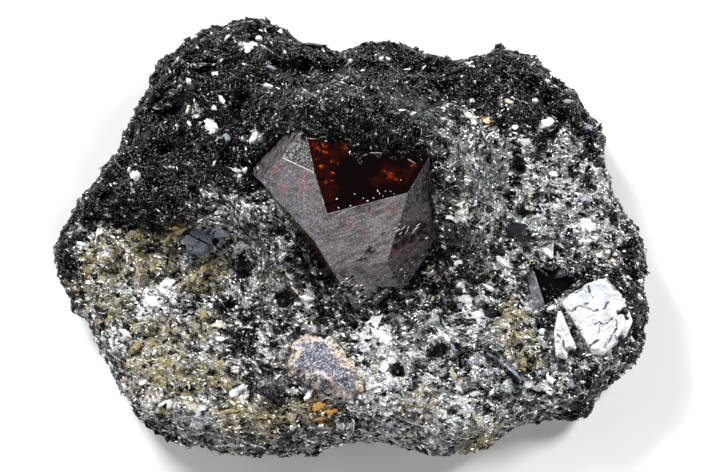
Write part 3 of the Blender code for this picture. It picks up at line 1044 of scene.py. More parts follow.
def spot_mask(add: Adder, place: Socket, spots: Spots) -> Node:
    """Add a mask of ragged spots to a material.

    Args:
        add: Adds a node to the material.
        place: The output that gives the place on the piece, in metres.
        spots: Each spot's x, y, z and radius in millimetres.

    Returns:
        The node whose output is one in the middle of a spot and nought outside all of them.
    """
    wander = add("TexNoise", {"Vector": place, "Scale": 1.0 / (0.7 * MM), "Detail": 4.0, "Roughness": 0.7})
    stray = 1.6  # how far the noise can shift a spot's rim, in millimetres
    shifted = add("VectorMath", (wander.outputs["Color"], (stray * MM,) * 3, place), operation="MULTIPLY_ADD")
    mask = None
    for x, y, z, radius in spots:
        middle = [(value + stray / 2.0) * MM for value in (x, y, z)]
        distance = add("VectorMath", (shifted, middle), operation="DISTANCE")
        reach = (distance, radius * 1.1 * MM, radius * 0.35 * MM)
        spot = add("MapRange", reach, interpolation_type="SMOOTHSTEP")
        mask = spot if mask is None else add("Math", (mask, spot), operation="MAXIMUM")
    return mask


@dataclass(frozen=True)
class MirrorFace:
    """The glossy growth face: clear, almost black with depth, with the red and orange glow of light caught by
    inner cracks painted onto it in spots.

    Attributes:
        name: The finish's name.
        glow: Spots of painted orange glow, where inner cracks catch the light: x, y, z and radius.
        ember: Dark red zones: x, y, z and radius.
        colours: Colours laid one over the other: embers, depth, the painted glow round a flaw, and the
            painted glow of the flaw itself.
    """

    name: str = "zircon_mirror_face"
    glow: Spots = (
        (-4.7, 7.1, 20, 0.4), (-4, 6.8, 20, 0.5), (-3.1, 7.1, 19.8, 0.5), (-3.5, 6.2, 20, 0.4),
        (-2.8, 6.2, 19.9, 0.3), (-0.7, 7, 19.5, 0.5), (-0.4, 7.8, 19.4, 0.25), (-1.6, 4.9, 19.9, 0.35),
        (-2.3, 5.1, 20, 0.25), (1.7, 7, 19.2, 0.3), (4.7, 3.6, 19.2, 0.7), (4, 4, 19.3, 0.35),
        (5.3, 3.1, 19.2, 0.3), (-2.9, 2.5, 20.4, 0.35), (-2.4, 2.7, 20.3, 0.25), (7.3, 4.8, 18.7, 0.3),
        (5.9, 5.7, 18.8, 0.2), (-3.4, 4.3, 20.2, 0.35), (-3.9, 5.3, 20.1, 0.3), (-2.2, 3.6, 20.2, 0.25),
    )
    ember: Spots = (
        (-5.1, 7.4, 20.1, 1.7), (-3.8, 6.3, 20, 1.7), (-3.5, 4.4, 20.2, 1.3), (-3.2, 2.3, 20.5, 1),
        (-2.7, 0.4, 20.7, 0.8), (-0.8, 6.9, 19.5, 1.3), (1.7, 7, 19.2, 0.9), (4.6, 3.7, 19.2, 1.6),
        (6.4, 3.6, 19, 1), (7.1, 4.8, 18.7, 0.8), (3.1, 2.7, 19.6, 0.9), (-1.8, -1.2, 20.7, 0.9),
        (-2.6, 5.6, 19.9, 1.5), (-3, 3.4, 20.4, 1.5), (-2.5, 1.4, 20.6, 1.2), (1.2, -0.5, 20.2, 0.8),
    )

    colours: tuple[str, str, str, str] = ("5c160e", "120302", "4a1004", "e25414")

    def build(self) -> Material:
        """Build the finish.

        Returns:
            The material.
        """
        material, add, place = new_material(self.name)
        glow = spot_mask(add, place, self.glow)
        ember = spot_mask(add, place, self.ember)
        cloud = add("TexNoise", {"Vector": place, "Scale": 1.0 / (0.4 * MM), "Detail": 4.0, "Roughness": 0.8})
        broken = add("MapRange", (cloud, 0.46, 0.6))
        smoke = add("TexNoise", {
            "Vector": place, "Scale": 1.0 / (1.2 * MM), "Detail": 5.0, "Roughness": 0.65, "Distortion": 0.8,
        })
        patch = add("MapRange", (smoke, 0.38, 0.64))
        embers = add("Math", (ember, patch), operation="MULTIPLY")
        # Painted glow: orange spots with a dark red rim stand for light caught in cracks below the face, and
        # less light passes through them.
        flaw_glow = add("Math", (glow, broken), operation="MULTIPLY")
        glow_halo = add("Math", (glow, patch), operation="MULTIPLY")
        colour, *layers = self.colours
        for share, over in zip((embers, glow_halo, flaw_glow), layers):
            colour = add("Mix", {SHARE: share, UNDER: colour, OVER: over}, data_type="RGBA")
        hidden = add("Math", (embers, 0.5), operation="MULTIPLY")
        skin = add("Math", (flaw_glow, 0.5, hidden), operation="MULTIPLY_ADD")
        skin = add("Math", (skin, 0.02), operation="ADD")
        clear = add("Math", (1.0, skin), operation="SUBTRACT", use_clamp=True)
        waves = add("TexNoise", {"Vector": place, "Scale": 1.0 / (2.5 * MM), "Detail": 2.0})
        bump = add("Bump", {"Height": waves, "Distance": 0.03 * MM, "Strength": 1.0})
        DeepRedVolume().attach(add)
        return finished(material, {
            "Base Color": colour, "Transmission Weight": clear, "Normal": bump, "Roughness": 0.04,
            "IOR": 1.92,
        })


@dataclass(frozen=True)
class EtchedFace:
    """A face of the crystal dulled by etching: a grey skin over the red, with streaks, stains, and pits
    darkened with painted shade.

    Attributes:
        name: The finish's name.
        bloom: Share of the light that the etched skin scatters back.
        skin: Colour of the skin.
        dark: Colour of its dark streaks.
        stretch: How much longer than wide the streaks are.
        turn: Way that they run, in degrees from x towards y.
        contrast: How strongly the streaks show, from 0 to 1.
        roughness: Roughness of the skin.
        scratch: How white its fine scratches are, from 0 to 1.
        stain: Colour where the crystal's red shows through.
        pit: Colour painted into its pits and notches as shade.
        ior: Gloss of the etched skin, which is looser than the crystal under it.
        speckle: How strongly its pale etch points show, from 0 to 1.
        point: Colour of the etch points.
        line: Colour of the scratches.
        stains: Red stains: x, y, z and radius.
        pits: Pits and marks darkened with painted shade: x, y, z and radius.
    """

    name: str
    bloom: float
    skin: str
    dark: str
    stretch: float
    turn: float
    contrast: float
    roughness: float
    scratch: float
    stain: str = "b0463a"
    pit: str = "141012"
    ior: float = 1.5
    speckle: float = 0.75
    point: str = "c8c2c6"
    line: str = "d6d0d4"
    stains: Spots = NOWHERE
    pits: Spots = NOWHERE

    def build(self) -> Material:
        """Build the finish.

        Returns:
            The material.
        """
        material, add, place = new_material(self.name)
        along = add("Mapping", {
            "Vector": place, "Rotation": (0.0, 0.0, math.radians(self.turn)),
            "Scale": (self.stretch, 1.0, 1.0),
        }, vector_type="TEXTURE")
        streaks, clouds, fine, bent = (
            add("TexNoise", {
                "Vector": way, "Scale": 1.0 / (size * MM), "Detail": detail, "Roughness": rough,
                "Distortion": warp,
            })
            for way, size, detail, rough, warp in (
                (along, 0.5, 5.0, 0.7, 0.3), (place, 3.0, 4.0, 0.6, 0.0), (place, 0.22, 2.0, 0.6, 0.0),
                (along, 0.8, 2.0, 0.6, 2.5),
            )
        )
        half = self.contrast / 2.0
        streak = add("MapRange", (streaks, 0.34, 0.62, half + 0.15, 0.15 - half), clamp=False)
        cloud = add("MapRange", (clouds, 0.35, 0.65, half, 0.0))
        shade = add("Math", (streak, cloud), operation="ADD", use_clamp=True)
        colour = add("Mix", {SHARE: shade, UNDER: self.skin, OVER: self.dark}, data_type="RGBA")
        stains = spot_mask(add, place, self.stains)
        ragged_edge = add("MapRange", (streaks, 0.4, 0.56, 0.1, 0.85))
        stain = add("Math", (stains, ragged_edge), operation="MULTIPLY")
        grit = add("MapRange", (fine, 0.35, 0.65, 0.55, 1.45))
        speck = add("MapRange", (fine, 0.6, 0.72, 0.0, self.speckle))
        beside = add("Math", (bent, 0.5), operation="SUBTRACT")
        beside = add("Math", (beside,), operation="ABSOLUTE")
        scratch = add("MapRange", (beside, 0.0, 0.04, self.scratch, 0.0))
        # Painted shade: the pits are darkened in colour as well as sunk by the bump.
        pits = spot_mask(add, place, self.pits)
        for share, over, blend in (
            (stain, self.stain, "MIX"), (1.0, grit, "MULTIPLY"), (speck, self.point, "MIX"),
            (scratch, self.line, "MIX"), (pits, self.pit, "MIX"),
        ):
            colour = add("Mix", {SHARE: share, UNDER: colour, OVER: over}, data_type="RGBA", blend_type=blend)
        clear = add("MapRange", (shade, 0.0, 1.0, 1.0 - self.bloom, 1.0 - self.bloom * 0.75))
        relief = add("Math", (streaks, pits), operation="SUBTRACT")
        bump = add("Bump", {"Height": relief, "Distance": 0.07 * MM, "Strength": 1.0})
        DeepRedVolume().attach(add)
        return finished(material, {
            "Base Color": colour, "Transmission Weight": clear, "Normal": bump, "Roughness": self.roughness,
            "IOR": self.ior,
        })


@dataclass(frozen=True)
class CrackFilm:
    """Healed cracks inside the crystal: thin films that flash red where they catch the light."""

    name: str = "zircon_healed_crack"
    colour: str = "f0d0b8"
    shade: str = "7a3018"
    roughness: float = 0.22

    def build(self) -> Material:
        """Build the finish.

        Returns:
            The material.
        """
        material, add, place = new_material(self.name)
        waves = add("TexNoise", {"Vector": place, "Scale": 1.0 / (0.9 * MM), "Detail": 3.0})
        bump = add("Bump", {"Height": waves, "Distance": 0.5 * MM, "Strength": 1.0})
        shade = add("Mix", {SHARE: waves, UNDER: self.colour, OVER: self.shade}, data_type="RGBA")
        return finished(material, {
            "Base Color": shade, "Normal": bump, "Metallic": 0.7, "Roughness": self.roughness,
        })


class ZirconSkin(Enum):
    """How a face of the crystal is worn."""

    MIRROR = MirrorFace()
    ETCHED = EtchedFace(
        "zircon_etched_face", 0.94, "5e5a5e", "242225", 1.0, 0.0, 1.0, 0.6, 0.25,
        stain="844640",
        stains=(
            (-9, 5.3, 16.6, 1), (-8.1, 2.5, 16.9, 0.9), (-5.7, 2.5, 19.1, 0.9), (-6, 1.7, 18.7, 0.5),
            (-5.3, 3.5, 19.6, 0.6), (-3.5, -2.7, 20.2, 0.4),
        ),
    )
    BRUSHED = EtchedFace(
        "zircon_brushed_face", 0.95, "8a8587", "463f43", 4.5, 17.7, 1.0, 0.5, 0.06,
        pit="080607",
        ior=1.35,
        stain="8e5252",
        stains=(
            (-0.4, -2.2, 19.2, 0.9), (4.4, -0.3, 18.7, 0.7), (2, -0.9, 19.2, 0.6), (1.6, -2.9, 17.5, 0.6),
            (5, -0.4, 18.3, 0.5), (5.9, -1.8, 16.3, 0.6),
        ),
        pits=(
            (2.1, -4.6, 15.5, 0.5), (2.6, -4.6, 15.3, 0.4), (1.8, -4.9, 15.3, 0.35), (2.3, -4.9, 15.1, 0.3),
            (0.7, -5.7, 15.1, 0.25), (1.1, -5.5, 15.1, 0.28), (1.6, -5.4, 15, 0.28), (2.1, -5.2, 14.9, 0.2),
            (3.7, -2.8, 16.5, 0.35), (0.1, -5.2, 16, 0.15),
        ),
    )
    SCRATCHED = EtchedFace(
        "zircon_scratched_face", 0.95, "343236", "100e10", 1.6, 40.0, 1.0, 0.45, 0.9,
        ior=1.25,
    )
    COATED = EtchedFace(
        "zircon_face_under_mica_film", 0.98, "5c5a5a", "161614", 2.0, 10.0, 1.0, 0.5, 0.3,
        pits=(
            (-1.1, -7.2, 14.3, 0.4), (4.3, -7.9, 10.1, 0.35),
        ),
    )
    NOTCHED = EtchedFace(
        "zircon_notched_face", 0.85, "4a4448", "160c0e", 3.0, 50.0, 1.0, 0.4, 0.2,
        stain="6a1a16",
        pit="180404",
        ior=1.25,
        speckle=0.4,
        stains=(
            (4.9, -4.2, 14.2, 0.6), (5.4, -4.4, 13.7, 0.6), (8.6, -1, 14.6, 0.5), (7, -3.6, 13, 0.6),
        ),
        pits=(
            (4.1, -4, 15.4, 0.5), (4.7, -3.3, 15.6, 0.6), (5.4, -2.8, 15.5, 0.8), (6.1, -2.3, 15.4, 0.9),
            (6.9, -1.8, 15.3, 0.9), (7.9, -1.3, 14.9, 0.8), (8.6, -1.3, 14.3, 0.7), (8.1, -1.9, 14, 0.8),
            (7.2, -2.7, 14, 0.8), (6.2, -3.2, 14.3, 0.9), (5.3, -3.8, 14.5, 0.8), (8.3, -2.6, 13.2, 0.5),
        ),
    )
    DRAGGED = EtchedFace(
        "zircon_dragged_face", 0.85, "3c3c42", "0c0a0e", 5.0, 58.0, 1.0, 0.4, 0.45,
        stain="7a2018",
        ior=1.28,
        stains=(
            (-9.7, 7.9, 14.8, 0.7), (-8.5, 5.5, 17.4, 0.5), (-10.2, 6.7, 14.5, 0.4),
        ),
    )
    STREAKED = EtchedFace(
        "zircon_streaked_face", 0.8, "2a2224", "040203", 8.0, -72.0, 1.0, 0.38, 0.4,
        ior=1.25,
        speckle=0.25,
    )
    GLASSY = EtchedFace("zircon_glassy_flank", 0.5, "4a1c18", "120606", 3.0, -60.0, 0.8, 0.2, 0.05)
    EDGE = EtchedFace("zircon_worn_edge", 0.95, "f0ecea", "8a8486", 1.0, 0.0, 0.9, 0.4, 0.0)


# Where the growth face looks, as tilt and azimuth in degrees, and how nearly a face of it looks the same way
GROWTH_FACE = (11.0, 44.5)
SAME_WAY = 0.9995

# Where each kind of worn face looks
SKIN_WAYS = (
    (ZirconSkin.ETCHED, 42.5, -169.6),
    (ZirconSkin.BRUSHED, 48.5, -63.4),
    (ZirconSkin.COATED, 57.0, -66.7),
    (ZirconSkin.SCRATCHED, 39.9, -175.3),
    (ZirconSkin.GLASSY, 91.0, -142.4),
    (ZirconSkin.NOTCHED, 56.0, -51.4),
    (ZirconSkin.STREAKED, 55.0, -21.6),
    (ZirconSkin.DRAGGED, 55.0, 162.8),
    (ZirconSkin.STREAKED, 40.0, 70.0),
    (ZirconSkin.STREAKED, 180.0, 0.0),
    (ZirconSkin.EDGE, 41.2, -172.4),
)


@dataclass
class ZirconCrystal:
    """The large deep red crystal: flat faces with worn edges, and cracks inside.

    Attributes:
        node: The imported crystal.
        edge: Width of the worn edges.
        specks: Pale specks and splinters on its faces: x, y, size, turn and width as a share of the length.
        cracks: Cracks inside: centre, tilt, azimuth and radius.
        speck_colour: Colour of the specks.
    """

    node: Piece
    edge: float = 0.06
    speck_colour: str = "d8ccca"
    specks: Spots = (
        (-1.7, 0.3, 0.16, 30, 0.6), (0.4, 1, 0.1, 0, 0.7), (1.9, 0.2, 0.18, 20, 0.5),
        (1.4, 0.5, 0.1, 60, 0.6), (3.1, 1.5, 0.15, 100, 0.6), (3.3, 1.2, 0.1, 90, 0.6),
        (-1.5, -0.8, 0.12, 0, 0.7), (-0.1, -0.5, 0.11, 40, 0.7), (2.6, 0.6, 0.09, 0, 0.7),
        (4, 1.5, 0.12, 25, 0.35), (4.6, 1.5, 0.13, -10, 0.3), (5, 1.2, 0.1, -40, 0.35),
        (5.8, 3, 0.07, 0, 0.8), (3.7, 0.9, 0.08, 50, 0.5), (5.4, -2.3, 0.45, 30, 0.22),
        (6.1, -1.9, 0.5, 50, 0.18), (5.8, -2.5, 0.3, 40, 0.25), (6.5, -2.2, 0.45, 60, 0.16),
        (7.6, -1.7, 0.5, 42, 0.18), (7.9, -1.3, 0.35, 35, 0.25), (5.2, -2.1, 0.25, 10, 0.35),
        (4.7, -3.5, 0.35, 50, 0.16), (7.3, -2.1, 0.3, 50, 0.18), (6.7, -1.8, 0.3, 45, 0.25),
        (5.6, -1.7, 0.25, 30, 0.3), (2.9, 6.3, 0.9, 4, 0.08), (7.1, 5.4, 0.65, -30, 0.07),
        (-4.6, 7.8, 0.55, -2, 0.08), (1.6, 6, 0.4, 20, 0.12), (-9.8, 9.2, 0.5, 55, 0.1),
        (-9, 7.3, 0.4, 50, 0.1),
    )
    cracks: Spots = (
        (-4.3, 9.2, 17.4, 38, 200, 1.5), (-1, 9.6, 17, 30, 250, 1.1), (4.6, 6.4, 17.2, 35, 170, 1),
        (-1.6, 7.3, 16.8, 45, 190, 1.3), (-4.6, 6.6, 16.4, 30, 240, 1.7), (-5.8, 3.2, 15.2, 40, 210, 1.4),
        (1.6, 3.9, 15.5, 42, 250, 1.1), (5, 1.5, 14, 38, 300, 1.2),
    )

    def build(self) -> list[Piece]:
        """Model the crystal and its cracks.

        Returns:
            The crystal and the cracks in it.
        """
        piece = copy_of_node(self.node, "zircon")
        with all_in_edit(piece):
            bpy.ops.mesh.dissolve_limited(angle_limit=math.radians(1.0))
            bpy.ops.mesh.select_all(action="SELECT")
            bpy.ops.mesh.bevel(offset=self.edge * MM, segments=1)
        for skin in ZirconSkin:
            piece.data.materials.append(skin.value.build())
        order = list(ZirconSkin)
        for polygon in piece.data.polygons:
            polygon.material_index = order.index(self.skin_of(polygon.normal))
            polygon.use_smooth = False
        finish_piece(piece, "zircon_crystal")
        return [piece, self.inner_cracks(), self.pale_specks()]

    def skin_of(self, normal: Vector) -> ZirconSkin:
        """Choose how a face is worn, from where it looks; only the growth face itself is a mirror.

        Args:
            normal: The face's normal.

        Returns:
            The skin.
        """
        if normal.dot(direction(*GROWTH_FACE)) > SAME_WAY:
            return ZirconSkin.MIRROR
        return max(SKIN_WAYS, key=lambda way: normal.dot(direction(way[1], way[2])))[0]

    def pale_specks(self) -> Piece:
        """Model the pale specks of mica and the bright splinters that stick to the crystal.

        Returns:
            One piece that holds them all.
        """
        normals, offsets = face_planes(self.node)
        up = normals[:, 2] > 0.05
        specks = []
        for x, y, size, turn, slim in self.specks:
            deselect_all()
            heights = (offsets[up] - normals[up, 0] * x - normals[up, 1] * y) / normals[up, 2]
            out = Vector(normals[up][int(heights.argmin())])
            bpy.ops.mesh.primitive_ico_sphere_add(subdivisions=1, radius=size * MM)
            speck = bpy.context.object
            flat = Matrix.Rotation(math.radians(turn), 4, "Z") @ Matrix.Diagonal((1.0, slim, 0.3, 1.0))
            lean = Vector((0.0, 0.0, 1.0)).rotation_difference(out).to_matrix().to_4x4()
            speck.data.transform(Matrix.Translation(Vector((x, y, heights.min())) * MM) @ lean @ flat)
            specks.append(speck)
        piece = join(specks, "mica_specks_on_zircon")
        paint(piece.data, np.tile(linear(self.speck_colour), (len(piece.data.vertices), 1)))
        piece.data.materials.append(PALE_GRAIN.build())
        finish_piece(piece)
        return piece

    def inner_cracks(self) -> Piece:
        """Model the cracks as thin ragged films.

        Returns:
            One piece that holds them all.
        """
        films = []
        for index, (x, y, z, tilt, azimuth, radius) in enumerate(self.cracks):
            deselect_all()
            bpy.ops.mesh.primitive_cylinder_add(vertices=14, radius=radius * MM, depth=0.03 * MM)
            film = bpy.context.object
            for vert in film.data.vertices:
                ray = Vector((vert.co.x, vert.co.y)) / MM
                wander = 1.0 + 0.55 * noise.noise(Vector((ray.x * 1.3, ray.y * 1.3, 5.0 * index)))
                vert.co.x *= wander
                vert.co.y *= wander * 0.75
            turn = direction(tilt, azimuth).to_track_quat("Z", "X").to_matrix().to_4x4()
            film.data.transform(Matrix.Translation(Vector((x, y, z)) * MM) @ turn)
            films.append(film)
        piece = join(films, "zircon_inner_cracks")
        piece.data.materials.append(CrackFilm().build())
        finish_piece(piece)
        return piece


def direction(tilt: float, azimuth: float) -> Vector:
    """Return the unit vector that leans from upright by tilt towards azimuth, both in degrees."""
    lean, turn = math.radians(tilt), math.radians(azimuth)
    return Vector((math.sin(lean) * math.cos(turn), math.sin(lean) * math.sin(turn), math.cos(lean)))


def join(pieces: list[Piece], name: str) -> Piece:
    """Join pieces into one.

    Args:
        pieces: The pieces.
        name: Name of the whole.

    Returns:
        The joined piece.
    """
    deselect_all()
    for piece in pieces:
        piece.select_set(True)
    bpy.context.view_layer.objects.active = pieces[0]
    bpy.ops.object.join()
    pieces[0].name = name
    pieces[0].data.name = name
    return pieces[0]


# ------------------------------ the smaller crystals


@dataclass(frozen=True)
class MicaCleavage:
    """A mica cleavage face: layered sheets with a pearly or glassy gloss, soft shades and hairline cracks.

    Attributes:
        name: The finish's name.
        face: Colour of the bright sheets, which the piece carries as its Tint attribute.
        loose: Brightness of the sheets that have come loose.
        crack: Colour in the cracks.
        roughness: Roughness of the sheets.
        metallic: How far the stack of sheets shines like a metal.
        sheet: Width of one shade in millimetres.
        shade_share: Share of the loose sheets, from 0 to 1.
        crack_width: Width of the cracks as a share of the pattern.
        ripple: Height of the sheets' ripples in millimetres.
    """

    name: str
    face: str
    loose: float
    crack: str
    roughness: float
    metallic: float
    sheet: float
    shade_share: float
    crack_width: float = 0.012
    ripple: float = 0.05

    def build(self) -> Material:
        """Build the finish.

        Returns:
            The material.
        """
        material, add, place = new_material(self.name)
        broad = add("TexNoise", {
            "Vector": place, "Scale": 1.0 / (self.sheet * MM), "Detail": 3.0, "Roughness": 0.55,
            "Distortion": 0.8,
        })
        lines = add("TexNoise", {
            "Vector": place, "Scale": 1.0 / (self.sheet * 1.7 * MM), "Detail": 5.0, "Roughness": 0.6,
            "Distortion": 1.5,
        })
        off = add("Math", (lines, 0.5), operation="SUBTRACT")
        near = add("Math", (off,), operation="ABSOLUTE")
        crack = add("MapRange", (near, 0.0, self.crack_width, 1.0, 0.0))
        high = 0.62 - 0.24 * self.shade_share
        loose = add("MapRange", (broad, high, high + 0.1))
        tint = add("Attribute", attribute_name="Tint")
        darker = add("MapRange", (loose, 0.0, 1.0, 1.0, self.loose))
        body = add("Mix", {SHARE: 1.0, UNDER: tint, OVER: darker}, data_type="RGBA", blend_type="MULTIPLY")
        colour = add("Mix", {SHARE: crack, UNDER: body, OVER: self.crack}, data_type="RGBA")
        steps = add("Math", (lines, 12.0), operation="MULTIPLY")
        terraces = add("Math", (steps,), operation="ROUND")
        height = add("Math", (broad, 6.0, terraces), operation="MULTIPLY_ADD")
        bump = add("Bump", {"Height": height, "Distance": self.ripple * MM, "Strength": 1.0})
        return finished(material, {
            "Base Color": colour, "Normal": bump, "Roughness": self.roughness, "Metallic": self.metallic,
            "IOR": 1.6,
        })


class Plate(NamedTuple):
    """One larger mica plate or pale grain on the slab's face: its place, size, turn and tone."""

    x: float
    y: float
    length: float
    width: float
    turn: float
    tone: Tone


